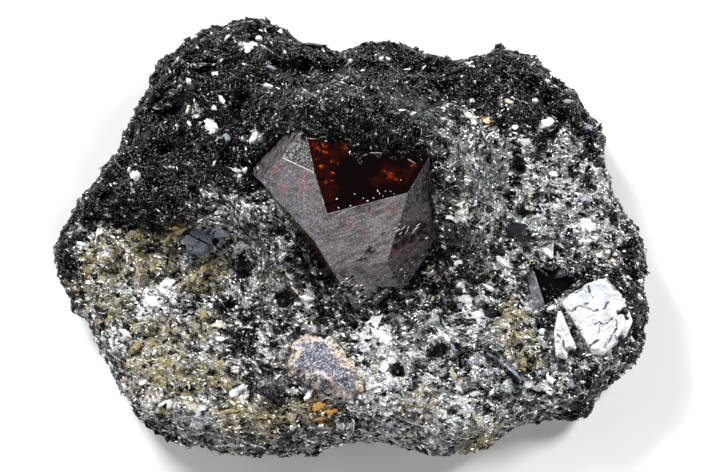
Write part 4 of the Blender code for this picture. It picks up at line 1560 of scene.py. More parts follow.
PLATE_ROWS = [
    (-16.7, 11.3, 2.2, 1.3, -52, CHALK), (-15, 9.8, 1.1, 1, 0, STEEL), (-11.5, 9.5, 1.7, 1, 60, CHALK),
    (-15.5, 14.5, 1.3, 0.6, -45, CHALK), (-16.4, 13.6, 0.6, 0.6, 0, CHALK),
    (-19.5, 13.9, 1.4, 0.5, 80, CREAM), (-18.5, 13, 1, 0.6, 20, CHALK), (-19.5, 17.3, 0.7, 0.7, 0, CHALK),
    (-20.5, 16.6, 0.7, 0.5, 0, STEEL), (-16.3, 18.1, 1, 0.5, 0, CHALK), (-12.6, 21.7, 1.3, 1.1, 20, CHALK),
    (-11.8, 22.4, 1, 0.7, -30, SILVER), (-11.1, 23.4, 1, 0.7, -30, CHALK),
    (-21.1, 20.3, 1.4, 0.4, 80, CHALK), (-10, 16.1, 1.2, 0.5, -25, CHALK),
    (-13.8, 5.9, 1.6, 0.6, -12, CHALK), (-26.1, 6.5, 1.7, 1.2, -40, CHALK),
    (-9.9, 18.9, 1.3, 0.5, -5, STEEL), (-19.4, 11.8, 0.6, 0.6, 0, CHALK), (-22.8, 15, 2.4, 1.3, 0, BIOTITE),
    (-18.4, 19.7, 2.6, 0.7, 0, BIOTITE), (-13.6, 14.4, 1.2, 1, 0, BIOTITE),
    (-4.4, 23.2, 3.1, 0.7, -8, BIOTITE), (-14.9, 23, 1.1, 0.5, 50, SILVER), (13.8, 12.1, 1.3, 1, -30, CHALK),
    (14.5, 11.1, 1.1, 0.7, -40, CHALK), (15.9, 12, 1.4, 0.8, -15, RUST), (23.4, 12.2, 1.7, 1.1, 20, CHALK),
    (22.1, 15.2, 0.7, 0.7, 0, CHALK), (19.6, 11.3, 0.7, 0.7, -45, CHALK), (20.8, 9.6, 1.3, 0.8, 30, SILVER),
    (18.9, 14.8, 1, 0.6, -10, CREAM), (25.9, 15.2, 1.1, 0.6, 0, SAGE), (28.4, 12.4, 1, 0.8, 0, STEEL),
    (24.1, 6.2, 1.3, 0.7, 10, CHALK), (12.5, -0.5, 2.3, 1.1, -5, CHALK), (28.1, 0.1, 2.2, 2, 20, CHALK),
    (28, 3.1, 1.3, 1.1, 0, STEEL), (20.6, 1.3, 1.4, 0.6, 0, BIOTITE), (20, -1, 2.9, 1.7, 10, GRAPHITE),
    (14.1, 19.9, 0.7, 0.5, 0, CHALK), (12.6, 9.4, 1.3, 1.4, 0, BIOTITE), (20, 7.6, 1.3, 1.3, 0, BIOTITE),
    (17.9, 11.9, 1.4, 0.8, -10, BIOTITE), (23.8, 17.7, 2.6, 1.1, -30, BIOTITE),
    (15.3, 10.5, 1.9, 0.2, -60, CHALK), (16.1, 9.9, 1.2, 0.2, 50, CHALK), (15.8, 11, 1.1, 0.2, 35, SILVER),
    (8.7, 19.6, 0.8, 0.2, 50, CHALK), (6.8, 19.2, 1, 0.2, 8, CHALK), (21.9, 20.2, 0.8, 0.2, 60, CHALK),
    (27.1, 12.1, 1.4, 1, 10, BIOTITE), (2.6, -12.1, 2.2, 1.6, 60, CHALK), (3.2, -13.7, 1.9, 1.2, -20, CHALK),
    (4.1, -14.4, 1.4, 1.1, -30, CHALK), (1.7, -14.6, 1.3, 0.8, 50, CHALK), (1.4, -15.6, 1.1, 0.6, 10, CHALK),
    (4, -17.5, 1.8, 1, 70, CHALK), (4.6, -17, 1.2, 0.5, 10, CHALK), (5.5, -18, 1.4, 1.2, 30, BIOTITE),
    (2.7, -20.3, 1.8, 1.4, 20, CHALK), (2, -21.1, 1.2, 1, -30, CHALK), (0.7, -20.8, 1.4, 0.6, 15, CHALK),
    (-0.9, -21.3, 1.4, 0.6, 0, SILVER), (-3.4, -19.6, 1.2, 1, 50, CREAM), (-2.6, -20, 1, 0.7, -30, CREAM),
    (-4.5, -14.3, 1.1, 0.5, -10, CREAM), (-3.2, -14.5, 1.7, 0.7, -35, CREAM),
    (-1.6, -15.8, 1.4, 0.6, -55, CREAM), (-6.8, -15.7, 1.2, 0.8, -70, CREAM), (-5, -21, 1.3, 0.7, 60, CHALK),
    (-5.6, -20.1, 1, 0.5, -50, CHALK), (-4, -22.2, 1.7, 0.7, 30, RUST), (-2.7, -22.7, 1.9, 0.8, 15, RUST),
    (-3.7, -23.4, 1.4, 0.6, 20, RUST), (10, -16, 1.8, 1.3, 10, BIOTITE), (9.3, -14.4, 1.4, 0.6, 20, CHALK),
    (11.2, -14.4, 1.3, 0.6, -60, CHALK), (11.9, -15.4, 1, 0.5, -60, STEEL),
    (12.4, -15.2, 0.8, 0.8, 0, BIOTITE), (13, -16.9, 1, 1.1, 20, BIOTITE), (13.6, -9.2, 1.6, 1.1, 10, CHALK),
    (14.9, -11.3, 1.3, 0.8, -25, CHALK), (14.1, -9.9, 0.8, 0.5, -50, CHALK),
    (9.8, -9.1, 0.7, 0.5, 20, CREAM), (12, -18.3, 1.4, 0.6, -60, CREAM), (12.6, -19.9, 1.7, 0.6, -60, CHALK),
    (13.4, -22.1, 1.7, 0.5, -40, CHALK), (14.6, -20.6, 1.3, 0.6, 20, CHALK),
    (12.7, -19.2, 1.2, 0.7, 20, CREAM), (4.3, -22.8, 1.2, 0.7, 30, CHALK),
    (-5.4, -9.4, 1.8, 0.6, -12, CHALK), (-6.5, -8.6, 1.2, 0.4, -45, CREAM), (-3.8, -7.5, 0.7, 0.6, 0, CHALK),
    (-7.3, -7, 1.1, 0.4, -50, CREAM), (7, -10.8, 1.6, 1, 10, GRAPHITE), (-30.4, -0.5, 1.3, 0.7, 60, CHALK),
    (-32.5, -2, 1.2, 0.6, -5, CHALK), (-26.3, -4.9, 0.6, 0.5, 0, CREAM), (-22, -6.4, 1.9, 1.4, 20, CHALK),
    (-22.7, -7.4, 1.2, 0.8, -40, CHALK), (-23.8, -8.9, 2, 1.3, -50, CHALK),
    (-24.5, -7.6, 1.1, 0.7, 60, SILVER), (-31.3, -6.4, 1, 0.5, 0, CHALK),
    (-31.3, -8.3, 0.8, 0.4, -20, CREAM), (-28.3, -14.1, 1.8, 0.5, -60, CHALK),
    (-27.1, -13, 1.6, 0.8, -20, CHALK), (-26.9, -18.6, 1.1, 0.6, -60, CHALK),
    (-24.6, -19.3, 1, 0.6, 10, CHALK), (-23.5, -21.3, 1.7, 0.7, -25, CREAM),
    (-21.9, -21.9, 1.7, 1, 10, CHALK), (-18.9, -22, 1.6, 1, -30, CREAM), (-17.9, -22.2, 1.7, 1, 20, CHALK),
    (-18.3, -22.9, 1.1, 0.6, 30, CHALK), (-20.2, -1.3, 1.9, 0.8, 10, CHALK),
    (-19.3, -2.2, 1, 0.6, -40, CHALK), (-20.6, -0.3, 1.4, 0.8, 30, OCHRE),
    (-21.8, -0.9, 1.7, 0.5, 50, OCHRE), (-16.6, -3.7, 1.8, 0.7, 35, OCHRE),
    (-17.8, -4.7, 1.7, 0.8, 38, OCHRE), (-18.8, -5.7, 1.4, 0.6, 45, OCHRE),
    (-15.5, -0.6, 1.6, 1.3, 20, STEEL), (-16.5, -1.6, 1.1, 0.7, -30, GRAPHITE),
    (-14.8, -1, 0.7, 0.6, 0, OCHRE), (-15.9, -12.1, 1.6, 1.3, 10, CREAM),
    (-17.7, -10.7, 1.4, 1.1, 20, OCHRE), (-25.6, -14.7, 1.6, 1, 50, OCHRE),
    (-34.3, -3.6, 1.4, 0.8, 70, BIOTITE), (-23.4, -15.6, 1, 0.4, 70, SILVER),
    (-15.5, -13.9, 1.1, 0.7, 0, CHALK), (-13.8, -20.6, 1.4, 0.8, 30, CHALK),
    (-14, -22.9, 2.4, 0.5, 5, OCHRE), (-29.5, -10.1, 2.6, 1, -30, GRAPHITE),
    (-12.9, -20.2, 1, 0.7, 20, SILVER), (-21, 0, 1.1, 0.5, 10, RUST), (-28, -0.2, 1.1, 0.7, 0, OCHRE),
    (23.8, -2, 1.9, 0.4, 10, CHALK), (22.8, -2.3, 1.2, 0.4, 40, CHALK), (25, -2.6, 1.2, 0.4, -40, CREAM),
    (24.8, -3.7, 1.7, 0.4, -75, CREAM), (17.9, -4.7, 2, 0.8, -50, CHALK), (20.8, -8.2, 1.3, 0.5, -55, CHALK),
    (16, -7.8, 1.7, 0.5, -20, CHALK), (20.4, -1.6, 2.2, 1.4, 20, GRAPHITE),
    (27.1, -5.7, 1.8, 0.8, 15, GRAPHITE), (22.5, -13.2, 0.7, 0.6, 0, SILVER),
    (23.7, -10.3, 1, 0.7, 30, SILVER), (21.2, -13.6, 1.9, 0.5, -75, OCHRE),
    (20.2, -16.8, 1.1, 1, -40, OCHRE), (16.8, -16.3, 1.7, 0.5, -42, STEEL),
    (17.6, -17.3, 2.9, 0.4, -40, BIOTITE), (18.1, -17.4, 2.6, 0.4, -40, STEEL),
    (17.2, -18.3, 2.6, 0.4, -38, STEEL), (18.8, -18.7, 2.4, 0.4, -40, BIOTITE),
    (19.4, -18.5, 1.7, 0.4, -45, STEEL), (22, -18, 0.8, 0.6, -50, CHALK),
    (23.5, -18.7, 1.6, 0.8, -60, CHALK), (20.9, -19.3, 1.3, 1, 20, SILVER),
    (25.9, -19.2, 1.3, 1.2, 30, STEEL), (29.4, -3.9, 1, 0.5, -20, CHALK), (30.6, -3.4, 0.7, 0.5, 20, CREAM),
    (31.2, -4.7, 0.7, 0.5, -20, CREAM), (-8.1, -0.3, 1.1, 0.4, -55, CREAM), (-9, 1.4, 1, 0.4, -55, CREAM),
    (-7.2, -1.9, 1.1, 0.4, -50, CHALK), (-11.8, 7, 1.1, 0.4, -50, CREAM), (-12.6, 5.8, 0.7, 0.6, -50, CHALK),
    (11, -3.2, 0.7, 0.4, -60, CREAM), (12.7, -5.1, 0.8, 0.7, 20, CHALK), (12, -5.8, 0.7, 0.5, -30, CREAM),
    (6.4, 16.3, 0.7, 0.2, 20, SILVER), (-0.2, 20.4, 0.8, 0.4, 10, SILVER), (2.5, 17.8, 1.9, 1, 0, BIOTITE),
    (4.4, 20.5, 0.7, 0.4, -30, CHALK), (-7.9, -9.7, 1.7, 1.3, 0, BIOTITE), (-3.7, -12.1, 1.4, 1, 0, BIOTITE),
    (-6.3, -13.4, 1.4, 1, 20, BIOTITE), (-8.6, -13.1, 1.2, 1, 0, BIOTITE),
    (0.2, -12.1, 1.1, 0.8, 0, BIOTITE), (9.5, -12.3, 1.2, 0.6, 30, SAGE),
    (-12.8, -3.9, 1.7, 1.1, 0, BIOTITE), (-14.8, -8.5, 1.2, 1, 0, BIOTITE),
    (-12.2, -10.5, 1.2, 1, 30, BIOTITE), (16.7, -10.7, 1.4, 1, 0, GRAPHITE),
    (17.3, -3.3, 1.2, 0.7, -40, GRAPHITE), (31.2, 0.9, 1.1, 0.8, 0, BIOTITE),
    (32.4, -9.7, 0.6, 1.4, 20, BIOTITE), (30.3, -17.5, 1.7, 1, 20, BIOTITE),
    (27.3, -20.2, 1.4, 1, 10, BIOTITE),
]
PLATES = [Plate(*row) for row in PLATE_ROWS]


@dataclass
class LargePlates:
    """The larger plates and grains that stand out on the slab's face, each at its own place.

    Attributes:
        slab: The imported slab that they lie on.
        plates: The plates.
        thickness: Thickness of a plate.
        lift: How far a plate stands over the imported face.
        corners: Number of corners of a plate.
        sheets: Sheets in a plate, each a little smaller than the one below.
        sheet_step: Height of one sheet, and how much smaller it is.
    """

    slab: Piece
    plates: list[Plate]
    thickness: float = 0.5
    lift: float = 0.16
    corners: int = 10
    sheets: int = 3
    sheet_step: float = 0.1

    def build(self) -> list[Piece]:
        """Model every plate and lay it on the slab.

        Returns:
            One piece for the bright plates and one for the dark ones.
        """
        mesh = self.slab.data
        points = [vert.co / MM for vert in mesh.vertices]
        ground = BVHTree.FromPolygons(points, [tuple(polygon.vertices) for polygon in mesh.polygons])
        groups: dict[MicaCleavage, list[Piece]] = {PLATE_FACE: [], DARK_PLATE_FACE: []}
        for index, plate in enumerate(self.plates):
            dark = plate.tone in (BIOTITE, GRAPHITE)
            piece = self.model(plate, index)
            self.lay(piece, plate, ground)
            groups[DARK_PLATE_FACE if dark else PLATE_FACE].append(piece)
        pieces = []
        for finish, members in groups.items():
            piece = join(members, "dark_mica_plates" if finish is DARK_PLATE_FACE else "bright_mica_plates")
            piece.data.materials.append(finish.build())
            finish_piece(piece)
            pieces.append(piece)
        return pieces

    def model(self, plate: Plate, index: int) -> Piece:
        """Model one plate as a stack of ragged sheets.

        Args:
            plate: Its size and tone.
            index: Its number, which makes its outline its own.

        Returns:
            The plate, centred on the origin.
        """
        deselect_all()
        bpy.ops.mesh.primitive_cylinder_add(vertices=self.corners, radius=MM, depth=self.thickness * MM)
        piece = bpy.context.object
        with all_in_edit(piece):
            for _ in range(self.sheets - 1):
                self.select_top(piece)
                step = self.sheet_step * MM
                bpy.ops.mesh.inset(thickness=step)
                bpy.ops.mesh.extrude_region_move(TRANSFORM_OT_translate={"value": (0.0, 0.0, step)})
        points = read_points(piece.data)
        for row, (x, y, z) in enumerate(points):
            reach = math.hypot(x, y)
            seed = Vector((x / max(reach, 0.01) * 1.4, y / max(reach, 0.01) * 1.4, 3.3 * index + z * 0.8))
            wander = 1.0 + 0.4 * noise.noise(seed) + 0.9 * noise.noise(seed * 4.3)
            points[row, 0] = x * wander * plate.length / 2.0
            points[row, 1] = y * wander * plate.width / 2.0
        write_points(piece.data, points)
        shade = 1.0 + 0.25 * noise.noise(Vector((2.2 * index, 0.5, 0.5)))
        tint = np.clip(linear(TONE_COLOURS[plate.tone]) * shade, 0.0, 0.95)
        paint(piece.data, np.tile(tint, (len(points), 1)))
        return piece

    def select_top(self, piece: Piece) -> None:
        """Select the highest face of a piece in edit mode.

        Args:
            piece: The piece.
        """
        bpy.ops.mesh.select_all(action="DESELECT")
        shape = bmesh.from_edit_mesh(piece.data)
        max(shape.faces, key=lambda face: face.calc_center_median().z).select_set(True)
        bmesh.update_edit_mesh(piece.data)

    def lay(self, piece: Piece, plate: Plate, ground: BVHTree) -> None:
        """Lay a plate on the slab, level with the ground round it.

        Args:
            piece: The plate.
            plate: Its place and turn.
            ground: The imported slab's face.
        """
        rim = []
        for step in range(8):
            turn = math.radians(45.0 * step)
            reach = plate.length / 2.2
            spot = Vector((plate.x + math.cos(turn) * reach, plate.y + math.sin(turn) * reach, 40.0))
            hit = ground.ray_cast(spot, Vector((0.0, 0.0, -1.0)))[0]
            if hit is not None:
                rim.append(tuple(hit))
        heights = np.array(rim)
        middle = heights.mean(axis=0)
        slopes = np.linalg.lstsq(heights[:, :2] - middle[:2], heights[:, 2] - middle[2], rcond=None)[0]
        out = Vector((-slopes[0], -slopes[1], 1.0)).normalized()
        out = (out + Vector((0.0, 0.0, 0.8))).normalized()
        place = Vector((plate.x, plate.y, middle[2] + self.lift - self.thickness / 2.0))
        turn = Matrix.Rotation(math.radians(plate.turn), 4, "Z")
        lean = Vector((0, 0, 1)).rotation_difference(out).to_matrix().to_4x4()
        piece.data.transform(Matrix.Translation(place * MM) @ lean @ turn)


def finely_meshed(piece: Piece, planes: tuple[Array, Array], grain: float) -> tuple[Array, ...]:
    """Mesh a crystal finely, so that its sides can be broken back.

    Args:
        piece: The crystal or one shard of it.
        planes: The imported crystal's faces.
        grain: Size of the new mesh in millimetres.

    Returns:
        Its points, the way in from the nearest side at each, how far inside that side it lies, and how far it
        has left the foot, from 0 to 1.
    """
    activate(piece)
    piece.data.remesh_voxel_size = grain * MM
    bpy.ops.object.voxel_remesh()
    bpy.ops.object.shade_flat()
    normals, offsets = planes
    sides = np.abs(normals[:, 2]) < 0.3
    points = read_points(piece.data)
    depth = offsets[sides] - points @ normals[sides].T
    above = held((points[:, 2] - points[:, 2].min() - 0.6) / 0.4)
    return points, -normals[sides][depth.argmin(axis=1)], depth.min(axis=1), above


@dataclass
class MicaGrain:
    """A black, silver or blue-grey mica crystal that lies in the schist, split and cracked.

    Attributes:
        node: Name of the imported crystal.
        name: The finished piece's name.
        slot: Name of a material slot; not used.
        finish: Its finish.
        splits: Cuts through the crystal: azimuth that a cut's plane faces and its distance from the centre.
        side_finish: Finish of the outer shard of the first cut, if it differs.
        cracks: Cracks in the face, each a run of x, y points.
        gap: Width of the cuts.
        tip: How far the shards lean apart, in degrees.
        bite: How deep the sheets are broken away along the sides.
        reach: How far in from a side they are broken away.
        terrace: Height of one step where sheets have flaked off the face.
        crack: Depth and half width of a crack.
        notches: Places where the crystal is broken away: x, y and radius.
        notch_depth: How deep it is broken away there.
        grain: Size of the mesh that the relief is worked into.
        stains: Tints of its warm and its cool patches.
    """

    node: str
    name: str
    slot: str
    finish: MicaCleavage
    splits: Spots = ()
    side_finish: MicaCleavage | None = None
    cracks: tuple[Spots, ...] = ()
    gap: float = 0.25
    tip: float = 3.5
    bite: float = 0.6
    reach: float = 1.3
    terrace: float = 0.1
    crack: tuple[float, float] = (0.25, 0.06)
    notches: Spots = ()
    notch_depth: float = 1.6
    grain: float = 0.1
    stains: tuple[str, str] = ("e8e4c8", "c8d2e6")

    def build(self) -> Piece:
        """Split, tip and crack the crystal.

        Returns:
            The finished piece.
        """
        packed = bpy.data.objects[self.node]
        whole = copy_of_node(packed, self.name)
        low, high = (np.array(corner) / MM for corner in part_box(self.node))
        centre = Vector((low + high) / 2.0)
        shards = [whole]
        for azimuth, distance in self.splits:
            way = direction(90.0, azimuth)
            shards = self.split(shards, centre + way * distance, way)
        for index, shard in enumerate(shards):
            self.tip_shard(shard, index, float(low[2]))
            self.work_relief(shard, face_planes(packed))
            outer = self.side_finish is not None and index == 0
            finish = self.side_finish if outer else self.finish
            shard.data.materials.append(finish.build())
            self.tint(shard, finish)
        piece = join(shards, self.name)
        finish_piece(piece, self.node)
        return piece

    def work_relief(self, piece: Piece, planes: tuple[Array, Array]) -> None:
        """Break the sides back in ragged layers, end the face's sheets in low steps and open the cracks.

        Args:
            piece: The crystal or one shard of it.
            planes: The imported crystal's faces.
        """
        points, inward, edge, above = finely_meshed(piece, planes, self.grain)
        reach = held(1.0 - edge / self.reach)
        layered = points * np.array([1.0, 1.0, 2.6])
        broken = held(ragged(layered, 1.1, 3.0) * 1.5 + 0.6 * ragged(layered, 0.4, 13.0) + 0.15)
        steps = np.floor((ragged(points, 2.4, 9.0) + 0.5 * ragged(points, 0.7, 5.0)) * 3.0)
        opened = self.crack[0] * self.near_crack(points) + self.notch_depth * self.in_notch(points)
        points += inward * (self.bite * broken * reach * above)[:, None]
        points[:, 2] += (np.minimum(steps, 0.0) * self.terrace - opened) * above
        write_points(piece.data, points)

    def near_crack(self, points: Array) -> Array:
        """Find the cracks.

        Args:
            points: Places on the crystal in millimetres, one row each.

        Returns:
            One in the middle of a crack and nought beside it, at each point.
        """
        nearest = np.full(len(points), 9.0)
        wander = np.column_stack([ragged(points, 0.4, 2.0), ragged(points, 0.4, 8.0)]) * 0.2
        flat = points[:, :2] + wander
        for run in self.cracks:
            for start, end in zip(np.array(run[:-1]), np.array(run[1:])):
                along = end - start
                share = held((flat - start) @ along / (along @ along))
                gap = np.linalg.norm(flat - start - share[:, None] * along, axis=1)
                nearest = np.minimum(nearest, gap)
        width = self.crack[1] * np.clip(1.2 + 1.6 * ragged(points, 0.8, 30.0), 0.3, 2.2)
        return held(1.6 - nearest / width)

    def in_notch(self, points: Array) -> Array:
        """Find the notches.

        Args:
            points: Places on the crystal in millimetres, one row each.

        Returns:
            One where the crystal is broken away and nought elsewhere, at each point.
        """
        depth = np.zeros(len(points))
        wander = 1.0 + 0.9 * ragged(points, 0.6, 71.0)
        for x, y, radius in self.notches:
            distance = np.hypot(points[:, 0] - x, points[:, 1] - y) * wander / radius
            depth = np.maximum(depth, held((1.1 - distance) / 0.12))
        return depth

    def tint(self, piece: Piece, finish: MicaCleavage) -> None:
        """Colour the sheets, with painted shade in the cracks and notches, and a little stained in places.

        Args:
            piece: The crystal or one shard of it.
            finish: Its finish.
        """
        points = read_points(piece.data)
        # Painted shade: the opened cracks and the broken-away notches are darkened.
        dark = np.maximum(0.8 * self.near_crack(points), 0.93 * self.in_notch(points))
        stain = held(ragged(points, 1.6, 60.0) * 2.0 - 0.5)[:, None] * 0.5
        colour = linear(finish.face) * (1.0 - stain * (1.0 - linear(self.stains[0])))
        cool = np.clip(ragged(points, 1.5, 90.0) * 3.0 - 0.6, 0.0, 0.6)[:, None]
        colour *= 1.0 - cool * (1.0 - linear(self.stains[1]))
        paint(piece.data, colour * (1.0 - dark)[:, None])

    def split(self, shards: list[Piece], point: Vector, normal: Vector) -> list[Piece]:
        """Cut every shard along one upright plane.

        Args:
            shards: The shards so far.
            point: A point on the plane in millimetres.
            normal: The plane's direction.

        Returns:
            The shards on both sides.
        """
        halves = []
        for shard in shards:
            for half, side in ((shard, 1.0), (placed(shard.name, shard.data.copy()), -1.0)):
                cut_away(half, point + normal * side * self.gap / 2.0, normal * side)
                if len(half.data.polygons) > 3:
                    halves.append(half)
                else:
                    bpy.data.objects.remove(half, do_unlink=True)
        return halves

    def tip_shard(self, shard: Piece, index: int, foot: float) -> None:
        """Lean one shard a little about its foot, each its own way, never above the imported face.

        Args:
            shard: The shard.
            index: Its number, which makes its lean its own.
            foot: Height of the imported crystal's foot in millimetres.
        """
        if not self.splits:
            return
        points = read_points(shard.data)
        middle = points.mean(axis=0)
        spot = Vector((index * 3.1, 0.4, 7.7))
        lean = Vector((noise.noise(spot), noise.noise(spot + Vector((0.0, 5.3, 0.0)))))
        lean *= math.tan(math.radians(self.tip)) * 2.0
        shift = (points[:, 0] - middle[0]) * lean.x + (points[:, 1] - middle[1]) * lean.y
        top = (points[:, 2] > foot + 0.5).astype(float)
        points[:, 2] += top * (shift - np.abs(shift).max())
        write_points(shard.data, points)


def cut_away(piece: Piece, point: Vector, normal: Vector) -> None:
    """Cut a closed piece along a plane, keep what the normal points to and close the cut.

    Args:
        piece: The piece.
        point: A point on the plane in millimetres.
        normal: The direction of the part that stays.
    """
    with all_in_edit(piece):
        bpy.ops.mesh.bisect(plane_co=point * MM, plane_no=normal, use_fill=True, clear_inner=True)


@dataclass(frozen=True)
class WornFeldspar:
    """Worn, cleaved feldspar: a speckled lilac grey with fine white and dark grains."""

    name: str = "feldspar_worn"
    white: str = "dcdce4"
    dark: str = "2c2a30"

    def build(self) -> Material:
        """Build the finish.

        Returns:
            The material, coloured by the piece's Tint attribute.
        """
        material, add, place = new_material(self.name)
        tint = add("Attribute", attribute_name="Tint")
        speckle = add("TexNoise", {
            "Vector": place, "Scale": 1.0 / (0.24 * MM), "Detail": 3.0, "Roughness": 0.7,
        })
        light = add("MapRange", (speckle, 0.53, 0.6, 0.0, 0.95))
        shade = add("MapRange", (speckle, 0.48, 0.4, 0.0, 0.9))
        colour = add("Mix", {SHARE: light, UNDER: tint, OVER: self.white}, data_type="RGBA")
        colour = add("Mix", {SHARE: shade, UNDER: colour, OVER: self.dark}, data_type="RGBA")
        bump = add("Bump", {"Height": speckle, "Distance": 0.2 * MM, "Strength": 1.0})
        return finished(material, {"Base Color": colour, "Normal": bump, "Roughness": 0.4, "IOR": 1.53})


@dataclass
class FeldsparGrain:
    """The feldspar grain in front of the zircon, lilac grey with a creamy broken rim.

    Attributes:
        node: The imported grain.
        body: Its colour.
        rim: Colour of its rim.
        patches: Patches of another colour: x, y, radius and colour.
        relief: Height of its lumps.
        bite: How deep its rim is broken away.
        reach: How far in from the rim it is broken away.
        rim_width: Width of the rim.
        grain: Size of the mesh that the relief is worked into.
    """

    node: Piece
    body: str = "747484"
    rim: str = "d8c8b4"
    patches: tuple[tuple[float, float, float, str], ...] = (
        (-3.5, -19.7, 0.75, "f0e4e2"), (-3.8, -18.9, 0.5, "f0e4e2"), (-2.5, -19.9, 0.4, "e0b09c"),
        (-6.6, -16, 0.6, "f2e6d2"), (-6.7, -16.6, 0.4, "f0e2c8"), (-4.3, -14.1, 0.5, "e6c8b8"),
        (-3.3, -14.4, 0.6, "f6f6f4"), (-2.6, -15, 0.4, "f6f2e8"), (-2, -16.1, 0.5, "f0e0c0"),
        (-1.5, -16.5, 0.4, "e8c8b0"), (1.3, -18.9, 0.5, "f4ead2"), (1, -20, 0.5, "f0dcc0"),
        (-6.3, -19.1, 0.6, "3a342c"), (-4.7, -19.7, 0.4, "2c2a2c"), (-3.3, -20.7, 0.5, "1c1a1a"),
        (-5.4, -18.1, 0.5, "54505a"), (-7.6, -18.7, 0.5, "8a6c50"), (-0.8, -17.3, 0.4, "d8b8a4"),
        (0, -18.1, 0.35, "c89c84"),
    )
    relief: float = 0.4
    bite: float = 1.1
    reach: float = 1.6
    rim_width: float = 0.45
    grain: float = 0.12

    def build(self) -> Piece:
        """Break the rim of the grain, roughen it and colour its patches.

        Returns:
            The finished grain.
        """
        piece = copy_of_node(self.node, "feldspar")
        points, inward, edge, above = finely_meshed(piece, face_planes(self.node), self.grain)
        reach = held(1.0 - edge / self.reach)
        broken = held(0.25 + 1.3 * ragged(points, 1.3, 3.0) + 0.8 * ragged(points, 0.5, 13.0))
        lumps = ragged(points, 0.9, 3.0) + 0.6 * ragged(points, 0.35, 8.0)
        moved = points + inward * (self.bite * broken * reach * above)[:, None]
        moved[:, 2] += self.relief * (lumps - 0.8) * above
        write_points(piece.data, moved)
        paint(piece.data, self.colours(points, edge - self.bite * broken * reach))
        piece.data.materials.append(WornFeldspar().build())
        finish_piece(piece, "feldspar_grain")
        return piece

    def colours(self, points: Array, edge: Array) -> Array:
        """Return the linear colour at each point.

        Args:
            points: Places on the grain in millimetres.
            edge: How far each is inside the rim.

        Returns:
            One colour a point.
        """
        wander = ragged(points, 0.8, 51.0)
        rim = held((self.rim_width * (0.8 + 3.6 * wander) - edge) / 0.3)[:, None]
        colours = linear(self.body) * (1.0 - rim) + linear(self.rim) * rim
        for x, y, radius, code in self.patches:
            distance = np.hypot(points[:, 0] - x, points[:, 1] - y) * (1.0 + 0.9 * wander) / radius
            share = held((1.2 - distance) / 0.4)[:, None]
            colours = colours * (1.0 - share) + linear(code) * share
        return colours


# ------------------------------ table, light, camera


@dataclass(frozen=True)
class PaleTable:
    """A smooth matt light table: white acrylic, lit faintly from below so that it fades to white."""

    name: str = "white_matt_acrylic"
    colour: str = "f6f6f6"
    backlight: float = 0.04

    def build(self) -> Material:
        """Build the finish.

        Returns:
            The material.
        """
        material, add, place = new_material(self.name)
        grain = add("TexNoise", {"Vector": place, "Scale": 1.0 / (2.0 * MM)})
        bump = add("Bump", {"Height": grain, "Distance": 0.01 * MM, "Strength": 0.2})
        return finished(material, {
            "Normal": bump, "Base Color": self.colour, "Roughness": 0.7, "Emission Color": "ffffff",
            "Emission Strength": self.backlight,
        })


@dataclass(frozen=True)
class Softbox:
    """A soft lamp: where it stands as seen from the specimen, its size and its power.

    Attributes:
        name: The lamp's name.
        towards: Direction from the specimen.
        distance: Distance in metres.
        width: Width in metres.
        height: Height in metres.
        radiance: Brightness of its face.
        colour: Colour of its light.
    """

    name: str
    towards: tuple[float, float, float]
    distance: float
    width: float
    height: float
    radiance: float
    colour: str = "ffffff"

    def build(self) -> None:
        """Set up the lamp."""
        lamp = bpy.data.lights.new(self.name, "AREA")
        lamp.shape = "RECTANGLE"
        lamp.size, lamp.size_y = self.width, self.height
        lamp.energy = self.radiance * math.pi * self.width * self.height
        lamp.color = linear(self.colour)
        holder = placed(self.name, lamp)
        towards = Vector(self.towards).normalized()
        holder.location = towards * self.distance
        holder.rotation_euler = towards.to_track_quat("Z", "Y").to_euler()


